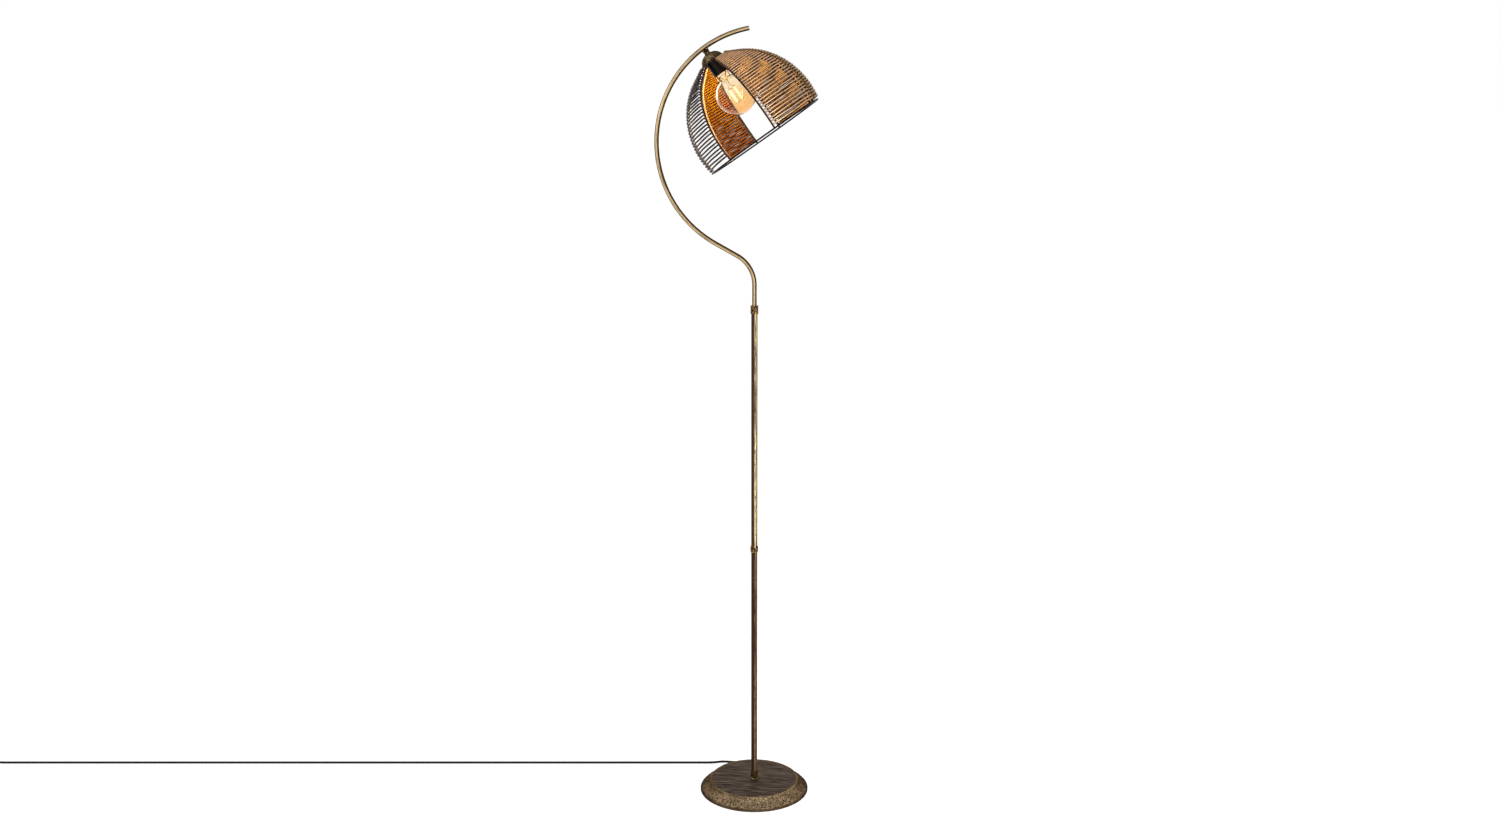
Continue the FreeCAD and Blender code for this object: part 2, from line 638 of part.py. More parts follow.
def cup():
    """Pressed dome over the lampholder."""
    top = -(STEM_RING_END + GLUE_GAP)
    rim = -CUP_BOTTOM
    bore = HEAD_NIPPLE_R + RUN_FIT
    faces = math.radians(CUP_SHOULDER_FACES)

    def dome(inset):
        flat = V(CUP_TOP_R, 0, top - inset)
        edge = V(CUP_R - inset, 0, rim)
        across = (CUP_R - CUP_TOP_R) * CUP_SHOULDER_OUT
        down = (rim - top) * CUP_SHOULDER_DOWN
        inward = V(-math.cos(faces), 0, -math.sin(faces)) * inset
        return flat, V(CUP_TOP_R + across, 0, top + down) + inward, edge

    flat, shoulder, edge = dome(0.0)
    flat_in, shoulder_in, edge_in = dome(CUP_WALL)
    edges = [Part.LineSegment(V(bore, 0, top), flat).toShape(),
             Part.Arc(flat, shoulder, edge).toShape(),
             Part.LineSegment(edge, edge_in).toShape(),
             Part.Arc(edge_in, shoulder_in, flat_in).toShape(),
             Part.LineSegment(flat_in, V(bore, 0, flat_in.z)).toShape(),
             Part.LineSegment(V(bore, 0, flat_in.z), V(bore, 0, top)).toShape()]
    body = Part.Face(Part.Wire(edges)).revolve(V(0, 0, 0), UP, 360)
    export("cup", on_head(body))


def lampholder():
    inner = HOLDER_R - HOLDER_WALL
    cap_in = HOLDER_TOP_R - HOLDER_WALL
    bore = HEAD_NIPPLE_R + RUN_FIT
    body_top = PLATE_LOW + GLUE_GAP
    cap = turned([(bore, -HOLDER_CAP_START), (HOLDER_TOP_R - HOLDER_CAP_BEVEL, -HOLDER_CAP_START),
                  (HOLDER_TOP_R, -HOLDER_CAP_START - HOLDER_CAP_BEVEL), (HOLDER_TOP_R, -PLATE_LOW),
                  (cap_in, -PLATE_LOW), (cap_in, -HOLDER_CAP_START - HOLDER_CAP_BEVEL),
                  (cap_in - HOLDER_WALL, -HOLDER_CAP_START - HOLDER_WALL),
                  (bore, -HOLDER_CAP_START - HOLDER_WALL)])
    export("holder_cap", on_head(cap))

    body = ring(HOLDER_R, inner, -HOLDER_END, -body_top)
    body = body.fuse(ring(inner, cap_in, -body_top - HOLDER_WALL, -body_top)).removeSplitter()
    for i in range(GRIP_COUNT):
        top = -body_top - GRIP_START - i * GRIP_PITCH
        body = body.cut(ring(2 * HOLDER_R, HOLDER_R - GRIP_DEPTH, top - GRIP_WIDTH, top))
    export("holder_body", on_head(body))

    export("holder_core", on_head(ring(cap_in - GLUE_GAP, HEAD_NIPPLE_BORE_R, -CORE_LOW, -CORE_TOP)))
    fit_r = inner - GLUE_GAP
    export("holder_shell", on_head(ring(fit_r, fit_r - SHELL_WALL, SHELL_SETBACK - HOLDER_END,
                                        -body_top - HOLDER_WALL)))
    tongue = Part.makeBox(CONTACT_LENGTH, CONTACT_WIDTH, CONTACT_THICK,
                          V(-CONTACT_LENGTH / 2, -CONTACT_WIDTH / 2, -CORE_LOW - CONTACT_THICK))
    export("holder_contact", on_head(tongue))


def bulb_cap():
    """Screw cap with rolled threads, its insulator and its end contact."""
    root = BULB_CAP_R - THREAD_DEPTH
    pitch = (HOLDER_END - CAP_COLLAR - THREAD_DEPTH - BULB_CAP_START) / BULB_CAP_THREADS
    mouth = BULB_CAP_R - CAP_SHEET - THREAD_DEPTH
    points = [(INSULATOR_R, -BULB_CAP_START)]
    for i in range(BULB_CAP_THREADS):
        z = -BULB_CAP_START - i * pitch
        points += [(root, z - THREAD_ROOT * pitch), (BULB_CAP_R, z - THREAD_CREST * pitch)]
    points += [(root, CAP_COLLAR + THREAD_DEPTH - HOLDER_END), (BULB_CAP_R, CAP_COLLAR - HOLDER_END),
               (BULB_CAP_R, -HOLDER_END), (mouth, -HOLDER_END),
               (mouth, -BULB_CAP_START - CAP_SHEET), (INSULATOR_R, -BULB_CAP_START - CAP_SHEET)]
    export("bulb_cap", on_head(turned(points)))
    rim = INSULATOR_R - RUN_FIT
    top = INSULATOR_HEIGHT - BULB_CAP_START
    insulator = turned([(0, -BULB_CAP_START - CAP_SHEET), (rim, -BULB_CAP_START - CAP_SHEET),
                        (rim, -BULB_CAP_START), (BULB_CONTACT_R, top), (0, top)])
    export("bulb_insulator", on_head(insulator))
    contact = turned([(0, top), (BULB_CONTACT_R, top),
                      (BULB_CONTACT_CROWN_R, top + BULB_CONTACT_HEIGHT / 2),
                      (0, top + BULB_CONTACT_HEIGHT)])
    export("bulb_contact", on_head(contact))


def bulb_line(inset):
    """Half outline of the glass: neck, flare and globe."""
    neck_r = BULB_NECK_R - inset
    globe_r = BULB_R - inset
    centre = V(0, 0, -BULB_CENTRE)
    neck_top = V(neck_r, 0, -HOLDER_END - GLUE_GAP)
    neck_low = V(neck_r, 0, -BULB_SHOULDER)
    side = BULB_CENTRE - BULB_SHOULDER
    flare = (neck_r ** 2 + side ** 2 - globe_r ** 2) / (2 * (globe_r - neck_r))
    flare_centre = V(neck_r + flare, 0, -BULB_SHOULDER)
    to_globe = (flare_centre - centre).normalize()
    joint = centre + to_globe * globe_r
    waist = flare_centre + ((neck_low + joint) * 0.5 - flare_centre).normalize() * flare
    belly = centre + V(ARC_MIDDLE, 0, -ARC_MIDDLE) * globe_r
    tip = centre - V(0, 0, globe_r)
    return [Part.LineSegment(neck_top, neck_low).toShape(),
            Part.Arc(neck_low, waist, joint).toShape(),
            Part.Arc(joint, belly, tip).toShape()], neck_top, tip


def bulb_glass():
    outer, outer_top, outer_tip = bulb_line(0.0)
    inner, inner_top, inner_tip = bulb_line(BULB_GLASS)
    edges = outer + inner
    edges.append(Part.LineSegment(outer_top, inner_top).toShape())
    edges.append(Part.LineSegment(outer_tip, inner_tip).toShape())
    face = Part.Face(Part.Wire(Part.__sortEdges__(edges)))
    export("bulb_glass", on_head(face.revolve(V(0, 0, 0), UP, 360)))


def bulb_inside():
    """Pinched glass stem, stick filaments and the wires that hold them."""
    mouth = HOLDER_END + GLUE_GAP
    pinch = BULB_CENTRE - FILAMENT_LENGTH / 2 - BULB_STEM_GAP
    stem = turned([(0, -mouth), (BULB_STEM_R, -mouth), (BULB_STEM_R, -mouth - CAP_SHEET),
                   (BULB_STEM_TUBE_R, -mouth - BULB_STEM_R + CAP_SHEET),
                   (BULB_STEM_PINCH_R, -pinch + BULB_STEM_PINCH_R), (BULB_STEM_PINCH_R, -pinch),
                   (0, -pinch)])
    export("bulb_stem", on_head(stem))
    top = -BULB_CENTRE + FILAMENT_LENGTH / 2
    low = -BULB_CENTRE - FILAMENT_LENGTH / 2
    sticks = []
    for i in range(FILAMENT_COUNT):
        foot = polar(FILAMENT_RING_R, 360.0 * (i + 0.5) / FILAMENT_COUNT, low)
        sticks.append(Part.makeCylinder(FILAMENT_R, FILAMENT_LENGTH, foot))
    export("bulb_filaments", on_head(Part.makeCompound(sticks)))
    leads = [Part.makeTorus(FILAMENT_RING_R, LEAD_R, V(0, 0, top + LEAD_R), UP),
             Part.makeTorus(FILAMENT_RING_R, LEAD_R, V(0, 0, low - LEAD_R), UP)]
    for side in (-1, 1):
        start = V(side * (BULB_STEM_PINCH_R - LEAD_R), 0, -pinch - LEAD_R)
        end = V(side * (FILAMENT_RING_R - 2 * LEAD_R), 0, top + 2 * LEAD_R)
        leads.append(Part.makeCylinder(LEAD_R, (end - start).Length, start, end - start))
    export("bulb_leads", on_head(Part.makeCompound(leads)))


def bulb():
    bulb_cap()
    bulb_glass()
    bulb_inside()


def outline_point(height, inset):
    """Radius and height of the shade's outline, moved inwards square to it, and its slope."""
    curved = min(height, CONE_FROM)
    lift = (curved - SHADE_WIDEST) / SHADE_AXIAL
    radius = SHADE_RADIAL * math.sqrt(1 - lift * lift)
    slope = -SHADE_RADIAL ** 2 * (curved - SHADE_WIDEST) / (SHADE_AXIAL ** 2 * radius)
    radius += slope * (height - curved)
    norm = math.hypot(1.0, slope)
    return radius - inset / norm, height + inset * slope / norm, slope


def height_where(test):
    """Lowest height of the outline, above its widest place, where the test holds."""
    low = SHADE_WIDEST
    radius, _, slope = outline_point(CONE_FROM, 0.0)
    high = CONE_FROM - radius / slope
    for _ in range(50):
        middle = (low + high) / 2
        if test(middle):
            high = middle
        else:
            low = middle
    return high


def wire_heights(pitch):
    """Heights of the wires, spaced evenly along the outline."""
    last = height_where(lambda h: outline_point(h, 0.0)[0] < TOP_WIRE_R)
    heights = []
    height = 0.0
    step = 0.1
    to_next = FIRST_WIRE
    while height < last:
        slope = outline_point(height, 0.0)[2]
        height += step / math.hypot(1.0, slope)
        to_next -= step
        if to_next <= 0:
            heights.append(height)
            to_next += pitch
    return heights


def shade_point(azimuth, height, inset):
    """Point at an azimuth round the shade axis, before it is laid on the axis."""
    radius, level, _ = outline_point(height, inset)
    a = math.radians(azimuth)
    return V(radius * math.sin(a), -radius * math.cos(a), level - SHADE_RIM_FROM_ARM)


def rib(azimuth):
    """One upright rib, inside the wires, from the rim wire to the top plate."""
    ceiling = SHADE_RIM_FROM_ARM - PLATE_LOW - GLUE_GAP - RIB_R
    top = height_where(lambda h: outline_point(h, RIB_INSET)[1] > ceiling)
    foot = -RIM_WIRE_R / 2
    a = math.radians(azimuth)
    out = V(math.sin(a), -math.cos(a), 0)
    points = []
    headings = []
    for i in range(RIB_STATIONS + 1):
        height = foot + (top - foot) * math.sin(math.pi / 2 * i / RIB_STATIONS)
        points.append(shade_point(azimuth, height, RIB_INSET))
        headings.append((out * outline_point(height, 0.0)[2] + UP).normalize())
    edges = []
    for i in range(RIB_STATIONS):
        edges += biarc(points[i], headings[i], points[i + 1], headings[i + 1])
    return on_head(tube(Part.Wire(edges), points[0], headings[0], RIB_R))


def wire(k, height, ribs, wire_r, pitch, climb):
    """One wire, bent as a single arc over the outside of its ribs, a little uneven."""
    inset = WIRE_SEAT - wire_r
    radius, _, slope = outline_point(height, inset)
    short = math.degrees(WIRE_SHORT / radius)
    start = ribs[0] + short
    end = ribs[-1] - short
    rise = radius * math.radians(end - start) / 2 * math.tan(math.radians(climb))
    uneven = HAND_BEND * (pitch - 2 * wire_r)
    norm = math.hypot(1.0, slope)
    levels = (height + (uneven * math.sin(START_WAVE * k) - rise) / norm, height,
              height + (uneven * math.sin(END_WAVE * k + END_WAVE_AT) + rise) / norm)
    places = zip((start, (start + end) / 2, end), levels)
    points = [shade_point(azimuth, level, inset) for azimuth, level in places]
    bend = Part.Arc(*points)
    heading = bend.tangent(bend.FirstParameter)[0]
    return on_head(tube(Part.Wire([bend.toShape()]), points[0], heading, wire_r))


def wire_panel(side, ribs, wire_r, pitch, climb):
    """A panel of parallel wires over its ribs."""
    heights = wire_heights(pitch)
    solids = [wire(k, height, ribs, wire_r, pitch, climb) for k, height in enumerate(heights)]
    print(side, "wires", len(solids))
    export("wires_" + side, Part.makeCompound(solids))


def rib_group(side, azimuths):
    export("ribs_" + side, Part.makeCompound([rib(azimuth) for azimuth in azimuths]))


def shade():
    wire_panel("front_right", FRONT_RIGHT_RIBS, WIRE_R, FRONT_PITCH, 0.0)
    wire_panel("back_right", BACK_RIGHT_RIBS, BACK_WIRE_R, BACK_PITCH, 0.0)
    wire_panel("back_left", BACK_LEFT_RIBS, BACK_WIRE_R, BACK_PITCH, WIRE_CLIMB)
    wire_panel("front_left", FRONT_LEFT_RIBS, WIRE_R, FRONT_PITCH, WIRE_CLIMB)
    rib_group("right", FRONT_RIGHT_RIBS + BACK_RIGHT_RIBS[1:])
    rib_group("back_left", BACK_LEFT_RIBS)
    rib_group("front_left", FRONT_LEFT_RIBS)
    rim_radius = outline_point(0.0, WIRE_SEAT)[0] + RIM_WIRE_R
    rim = Part.makeTorus(rim_radius, RIM_WIRE_R, V(0, 0, -SHADE_RIM_FROM_ARM), UP)
    export("rim_wire", on_head(rim))
    plate = ring(TOP_PLATE_R, HOLDER_TOP_R + GLUE_GAP, -PLATE_LOW, -PLATE_TOP)
    export("shade_top_plate", on_head(plate))


# Cord, its switch, coil and plug

HEADING = math.radians(CORD_HEADING)
ALONG = V(math.cos(HEADING), math.sin(HEADING), 0)
ASIDE = V(-ALONG.y, ALONG.x, 0)


def by_run(distance, aside, z):
    """Point beside the straight run, measured from the run's start beside the base."""
    return RUN_START + ALONG * distance + ASIDE * aside + V(0, 0, z)


RUN_START = V(-65.5, 115.9, 0)
SWITCH_NEAR = 1690.0
SWITCH_FAR = SWITCH_NEAR + SWITCH_LENGTH
COIL_START = SWITCH_FAR + LINK_RUN
PLUG_NEAR = COIL_START + TAIL_RUN
COIL_HIGH_Z = COIL_LOW_Z + COIL_STEP
END_RUN = 2 * CORD_R

LEAD_POINTS = [relief_line(RELIEF_OUT), relief_line(RELIEF_OUT + 16.0),
               by_run(37.0, 0.0, CORD_R), by_run(1624.0, 0.0, CORD_R),
               by_run(1648.0, 0.8, 4.6), by_run(1671.0, 0.0, SWITCH_SPLIT_Z),
               by_run(SWITCH_NEAR, 0.0, SWITCH_SPLIT_Z)]
LINK_POINTS = [by_run(SWITCH_FAR, 0.0, SWITCH_SPLIT_Z), by_run(SWITCH_FAR + 13.0, 0.0, SWITCH_SPLIT_Z),
               by_run(SWITCH_FAR + 28.0, 0.0, COIL_LOW_Z), by_run(COIL_START - END_RUN, 0.0, COIL_LOW_Z)]
TAIL_POINTS = [by_run(COIL_START + END_RUN, 0.0, COIL_HIGH_Z),
               by_run(COIL_START + END_RUN + 10.0, 0.0, COIL_HIGH_Z),
               by_run(PLUG_NEAR - 10.0, 0.0, PLUG_AXIS_Z), by_run(PLUG_NEAR, 0.0, PLUG_AXIS_Z)]


def coil_place(turns):
    """Centre line of the coil: in on the lower layer, out again on the upper one."""
    middle = COIL_TURNS / 2
    away = abs(turns - middle)
    spiral = away
    if away < COIL_CROSSING:
        spiral = (COIL_CROSSING + away * away / COIL_CROSSING) / 2
    radius = COIL_OUTER_R - COIL_STEP * (middle - spiral)
    rise = min(max((turns - middle + COIL_CROSSING) / (2 * COIL_CROSSING), 0.0), 1.0)
    z = COIL_LOW_Z + COIL_STEP * rise * rise * (3 - 2 * rise)
    a = 2 * math.pi * turns
    centre = by_run(COIL_START, -COIL_OUTER_R, 0.0)
    return centre + ASIDE * (radius * math.cos(a)) + ALONG * (radius * math.sin(a)) + V(0, 0, z)


def coil_heading(turns):
    step = 1e-4
    return (coil_place(turns + step) - coil_place(turns - step)).normalize()


def cord_coil():
    """Put-away coil: one unbroken tube of arcs, with short straight ends."""
    count = COIL_TURNS * COIL_STATIONS
    places = [coil_place(i / COIL_STATIONS) for i in range(count + 1)]
    headings = [coil_heading(i / COIL_STATIONS) for i in range(count + 1)]
    headings[0] = ALONG
    headings[-1] = ALONG
    start = places[0] - ALONG * END_RUN
    end = places[-1] + ALONG * END_RUN
    edges = [Part.LineSegment(start, places[0]).toShape()]
    for i in range(count):
        edges += biarc(places[i], headings[i], places[i + 1], headings[i + 1])
    edges.append(Part.LineSegment(places[-1], end).toShape())
    path = Part.Wire(edges)
    solid = tube(path, start, ALONG, CORD_R)
    export("cord_coil", solid)
    print("coil length", round(path.Length, 1), "least gap to itself", round(coil_gap(edges), 2),
          "volume ratio", round(solid.Volume / (math.pi * CORD_R ** 2 * path.Length), 4))
    return path.Length


def coil_gap(edges):
    """Least free space between places on the coil that aren't neighbours."""
    points = []
    for edge in edges:
        points += edge.discretize(Number=12)[:-1]
    travelled = [0.0]
    for a, b in zip(points, points[1:]):
        travelled.append(travelled[-1] + (b - a).Length)
    least = COIL_OUTER_R
    for i, a in enumerate(points):
        for j in range(i + 1, len(points)):
            if travelled[j] - travelled[i] > 4 * math.pi * CORD_R:
                least = min(least, (points[j] - a).Length - 2 * CORD_R)
    return least


def coil_tie():
    """Flat band round the four strands on the far side of the coil."""
    inner_r = COIL_OUTER_R - COIL_STEP * (COIL_TURNS / 2 - 0.5) - CORD_R - TIE_GAP
    outer_r = COIL_OUTER_R - COIL_STEP * 0.5 + CORD_R + TIE_GAP
    low = COIL_LOW_Z - CORD_R - TIE_GAP
    high = COIL_HIGH_Z + CORD_R + TIE_GAP
    width = outer_r - inner_r
    hole = Part.makeBox(width, TIE_WIDTH, high - low, V(inner_r, -TIE_WIDTH / 2, low))
    band = Part.makeBox(width + 2 * TIE_WALL, TIE_WIDTH, high - low + 2 * TIE_WALL,
                        V(inner_r - TIE_WALL, -TIE_WIDTH / 2, low - TIE_WALL))
    corners = [e for e in band.Edges if abs(e.tangentAt(0).y) > 0.9]
    band = band.makeFillet(TIE_ROUND, corners).cut(hole)
    place_by_run(band, COIL_START, -COIL_OUTER_R, CORD_HEADING - 90.0)
    export("coil_tie", band)


def place_by_run(shape, distance, aside, turn):
    shape.rotate(V(0, 0, 0), UP, turn)
    shape.translate(by_run(distance, aside, 0.0))


def switch_case(pivot_z):
    """Rounded case with solid ends, a slot for the rocker and lugs for its pin."""
    half = SWITCH_LENGTH / 2
    side = SWITCH_WIDTH / 2
    block = Part.makeBox(SWITCH_LENGTH, SWITCH_WIDTH, SWITCH_HEIGHT - SWITCH_FOOT,
                         V(-half, -side, SWITCH_FOOT))
    upright = [e for e in block.Edges if abs(e.tangentAt(0).z) > 0.9]
    block = block.makeFillet(SWITCH_ROUND, upright)
    upper = [e for e in block.Edges if abs(e.CenterOfMass.z - SWITCH_HEIGHT) < 1e-6]
    block = block.makeFillet(SWITCH_ROUND / 2, upper)
    inside = Part.makeBox(SWITCH_LENGTH - 2 * SWITCH_END, SWITCH_WIDTH - 2 * SWITCH_WALL,
                          SWITCH_HEIGHT - 2 * SWITCH_WALL - SWITCH_FOOT,
                          V(SWITCH_END - half, SWITCH_WALL - side, SWITCH_FOOT + SWITCH_WALL))
    slot_length = ROCKER_LENGTH + 2 * ROCKER_GAP
    slot_width = ROCKER_WIDTH + 2 * ROCKER_GAP
    slot = Part.makeBox(slot_length, slot_width, SWITCH_HEIGHT,
                        V(-slot_length / 2, -slot_width / 2, SWITCH_SPLIT_Z))
    cheek_width = ROCKER_WIDTH + 2 * ROCKER_PIN_END + 2 * SWITCH_WALL
    cheek = Part.makeBox(CHEEK_LENGTH, cheek_width, SWITCH_HEIGHT - SWITCH_WALL / 2
                         - pivot_z + CHEEK_HEIGHT / 2,
                         V(-CHEEK_LENGTH / 2, -cheek_width / 2, pivot_z - CHEEK_HEIGHT / 2))
    return block.cut(inside).fuse(cheek).removeSplitter().cut(slot)


def switch():
    """In-line rocker switch drawn along X, then laid on the straight run."""
    pivot_z = SWITCH_HEIGHT - ROCKER_DEPTH
    case = switch_case(pivot_z)
    lower = Part.makeBox(SWITCH_LENGTH, SWITCH_WIDTH, SWITCH_SPLIT_Z,
                         V(-SWITCH_LENGTH / 2, -SWITCH_WIDTH / 2, 0))
    base = case.common(lower)
    cover = case.cut(lower)
    reach = ROCKER_WIDTH / 2 + ROCKER_PIN_END
    pin = Part.makeCylinder(ROCKER_PIN_R, 2 * reach, V(0, -reach, pivot_z), V(0, 1, 0))
    bore = Part.makeCylinder(ROCKER_PIN_R + RUN_FIT, 2 * (reach + RUN_FIT),
                             V(0, -reach - RUN_FIT, pivot_z), V(0, 1, 0))
    cover = cover.cut(bore)
    screws = []
    seat = SWITCH_FOOT + SWITCH_WALL / 2
    for x in (SCREW_INSET - SWITCH_LENGTH / 2, SWITCH_LENGTH / 2 - SCREW_INSET):
        foot = V(x, 0, seat)
        head = Part.makeCylinder(SCREW_HEAD_R, SCREW_HEAD_HEIGHT, foot)
        screws.append(head.fuse(Part.makeCylinder(SCREW_R, SCREW_LENGTH, foot)))
        hole = Part.makeCylinder(SCREW_HEAD_R + GLUE_GAP, seat + SCREW_HEAD_HEIGHT, V(x, 0, 0))
        hole = hole.fuse(Part.makeCylinder(SCREW_R + RUN_FIT, SCREW_LENGTH + GLUE_GAP, foot))
        base = base.cut(hole)
        cover = cover.cut(hole)
    rocker = rocker_key(pivot_z).fuse(pin).removeSplitter()
    rocker.rotate(V(0, 0, pivot_z), V(0, 1, 0), ROCKER_THROW / 2)
    middle = SWITCH_NEAR + SWITCH_LENGTH / 2
    for name, shape in (("switch_base", base), ("switch_cover", cover),
                        ("switch_rocker", rocker), ("switch_screws", Part.makeCompound(screws))):
        place_by_run(shape, middle, 0.0, CORD_HEADING)
        export(name, shape)
    pivot = by_run(middle, 0.0, pivot_z)
    print("rocker pin", [round(c, 3) for c in pivot], "axis", [round(-c, 5) for c in ASIDE])


def rocker_key(pivot_z):
    """Key with two facets, drawn level."""
    half = ROCKER_LENGTH / 2
    low = pivot_z - ROCKER_SKIRT
    high = pivot_z + ROCKER_RISE
    profile = [(-half, low), (-half, high), (0, pivot_z + ROCKER_DIP), (half, high), (half, low)]
    corners = [V(x, -ROCKER_WIDTH / 2, z) for x, z in profile]
    face = Part.Face(Part.makePolygon(corners + corners[:1]))
    return face.extrude(V(0, ROCKER_WIDTH, 0))


def plug():
    """Flat moulded plug drawn along X, cord end at the origin."""
    half = PLUG_WIDTH / 2
    low = PLUG_AXIS_Z - PLUG_HALF_HEIGHT
    flare = PLUG_NECK + PLUG_FLARE
    side = [(0, PLUG_NECK_HALF), (PLUG_NECK, PLUG_NECK_HALF), (flare, half), (PLUG_LENGTH, half)]
    corners = [V(x, y, low) for x, y in side] + [V(x, -y, low) for x, y in reversed(side)]
    face = Part.Face(Part.makePolygon(corners + corners[:1]))
    body = face.extrude(V(0, 0, 2 * PLUG_HALF_HEIGHT))
    rims = [e for e in body.Edges if abs(e.tangentAt(0).z) < 0.1 and abs(e.CenterOfMass.y) > 1.0]
    body = body.makeFillet(PLUG_ROUND, rims)
    pins = []
    for sign in (-1, 1):
        foot = V(PLUG_LENGTH, sign * PIN_SPACING / 2, PLUG_AXIS_Z)
        shank = Part.makeCylinder(PIN_R, PIN_LENGTH - PIN_R, foot, V(1, 0, 0))
        tip = Part.makeSphere(PIN_R, foot + V(PIN_LENGTH - PIN_R, 0, 0))
        pins.append(shank.fuse(tip).removeSplitter())
    for name, shape in (("plug_body", body), ("plug_pins", Part.makeCompound(pins))):
        place_by_run(shape, PLUG_NEAR, 0.0, CORD_HEADING)
        export(name, shape)
    print("plug face", [round(c, 3) for c in by_run(PLUG_NEAR + PLUG_LENGTH, 0.0, PLUG_AXIS_Z)])


def cord():
    total = cord_tube("cord_lead", LEAD_POINTS)
    total += SWITCH_LENGTH
    total += cord_tube("cord_link", LINK_POINTS)
    total += cord_coil()
    total += cord_tube("cord_tail", TAIL_POINTS)
    print("cord in all", round(total, 1))
    coil_tie()


base_floor()
base_weight()
base_cover()
base_fasteners()
strain_relief()
base_cable()
pole()
arm_foot()
arm()
arm_end_plug()
head_fixing()
cup()
lampholder()
bulb()
shade()
cord()
switch()
plug()
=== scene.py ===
import json
import math
import random
import bmesh
import bpy
from mathutils import Matrix, Vector


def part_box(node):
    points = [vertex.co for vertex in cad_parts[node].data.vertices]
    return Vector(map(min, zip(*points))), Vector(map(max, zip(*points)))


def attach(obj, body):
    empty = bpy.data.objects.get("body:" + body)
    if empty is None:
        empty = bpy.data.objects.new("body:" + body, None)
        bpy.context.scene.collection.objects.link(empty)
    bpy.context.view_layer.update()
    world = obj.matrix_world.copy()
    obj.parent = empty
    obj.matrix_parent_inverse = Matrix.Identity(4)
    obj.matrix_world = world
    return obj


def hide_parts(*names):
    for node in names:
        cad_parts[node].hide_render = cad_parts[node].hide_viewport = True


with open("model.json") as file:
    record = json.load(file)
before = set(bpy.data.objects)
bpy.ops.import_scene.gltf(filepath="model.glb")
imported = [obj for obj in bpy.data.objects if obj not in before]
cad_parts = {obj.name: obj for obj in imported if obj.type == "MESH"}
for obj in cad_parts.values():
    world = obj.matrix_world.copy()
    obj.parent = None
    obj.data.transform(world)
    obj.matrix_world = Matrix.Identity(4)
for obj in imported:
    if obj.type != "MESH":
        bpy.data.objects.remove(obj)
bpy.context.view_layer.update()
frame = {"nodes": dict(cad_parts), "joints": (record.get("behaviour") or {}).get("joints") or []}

# Camera
# It stands about three metres in front of the lamp at eye height, a little to the right,
# and looks slightly down. The field of view is the photograph's.
camera_data = bpy.data.cameras.new("camera")
camera_data.lens = 37.2
camera_data.sensor_width = 36.0
camera_data.clip_end = 200.0  # past the far edge of the floor
camera = bpy.data.objects.new("camera", camera_data)
camera.location = (0.2873, -3.0766, 1.494)
camera.rotation_euler = (math.radians(77.6), 0.0, math.radians(5.5))
bpy.context.scene.collection.objects.link(camera)
bpy.context.scene.camera = camera


# Mains lead, from the base to the in-line switch
# A round two-core lead in black PVC, extruded over the cores. It lies straight on the floor
# and rises at its end into the switch.
def colour(code):
    """Linear colour of an sRGB hex value."""
    channels = [int(code[i:i + 2], 16) / 255 for i in (0, 2, 4)]
    linear = [c / 12.92 if c <= 0.04045 else ((c + 0.055) / 1.055) ** 2.4 for c in channels]
    return (*linear, 1.0)


def add(tree, kind, inputs=None, **settings):
    """Adds a node, sets its properties, and sets or links its inputs."""
    node = tree.nodes.new("ShaderNode" + kind)
    for name, value in settings.items():
        setattr(node, name, value)
    for name, value in (inputs or {}).items():
        if isinstance(value, bpy.types.NodeSocket):
            tree.links.new(value, node.inputs[name])
        else:
            node.inputs[name].default_value = value
    return node


def material(name, **sockets):
    """New material with constants on its Principled shader."""
    made = bpy.data.materials.new(name)
    made.use_nodes = True
    shader = made.node_tree.nodes["Principled BSDF"]
    for socket, value in sockets.items():
        shader.inputs[socket.replace("_", " ")].default_value = value
    return made, made.node_tree, shader


def grain_at(tree, size_mm, swept=False):
    """Texture place in units of a pattern's size, given in millimetres along each axis.

    On a swept tube or wire the third axis follows the piece.
    """
    if swept:
        place = add(tree, "Attribute", attribute_name="grain").outputs["Vector"]
    else:
        place = add(tree, "TexCoord").outputs["Object"]
    scale = [1000 / size for size in size_mm]
    return add(tree, "Mapping", {"Vector": place, "Scale": scale}).outputs["Vector"]


def mottled(name, light, dark, size_mm, rough, bump_mm, **sockets):
    """Surface whose colour, gloss and height vary a little with the size of its grain."""
    made, tree, shader = material(name, **sockets)
    cloud = add(tree, "TexNoise", {"Vector": grain_at(tree, size_mm), "Scale": 1.0,
                                   "Detail": 6.0, "Roughness": 0.6})
    tone = add(tree, "MapRange", {"Value": cloud.outputs[0], "From Min": 0.35, "From Max": 0.65})
    mix = add(tree, "Mix", {0: tone.outputs[0], 6: colour(dark), 7: colour(light)},
              data_type="RGBA")
    gloss = add(tree, "MapRange", {"Value": cloud.outputs[0], "From Min": 0.3, "From Max": 0.7,
                                   "To Min": rough[0], "To Max": rough[1]})
    bump = add(tree, "Bump", {"Height": cloud.outputs[0], "Distance": bump_mm / 1000})
    tree.links.new(mix.outputs[2], shader.inputs["Base Color"])
    tree.links.new(gloss.outputs[0], shader.inputs["Roughness"])
    tree.links.new(bump.outputs[0], shader.inputs["Normal"])
    return made


# Extruded PVC is smooth and slightly matt. Its die marks are drawn coarser than they are.
black_pvc = mottled("extruded_black_pvc", "0f0e0e", "080808", size_mm=(2.0, 2.0, 2.0),
                    rough=(0.5, 0.62), bump_mm=0.05, Specular_IOR_Level=0.2)

cord_diameter = 0.005
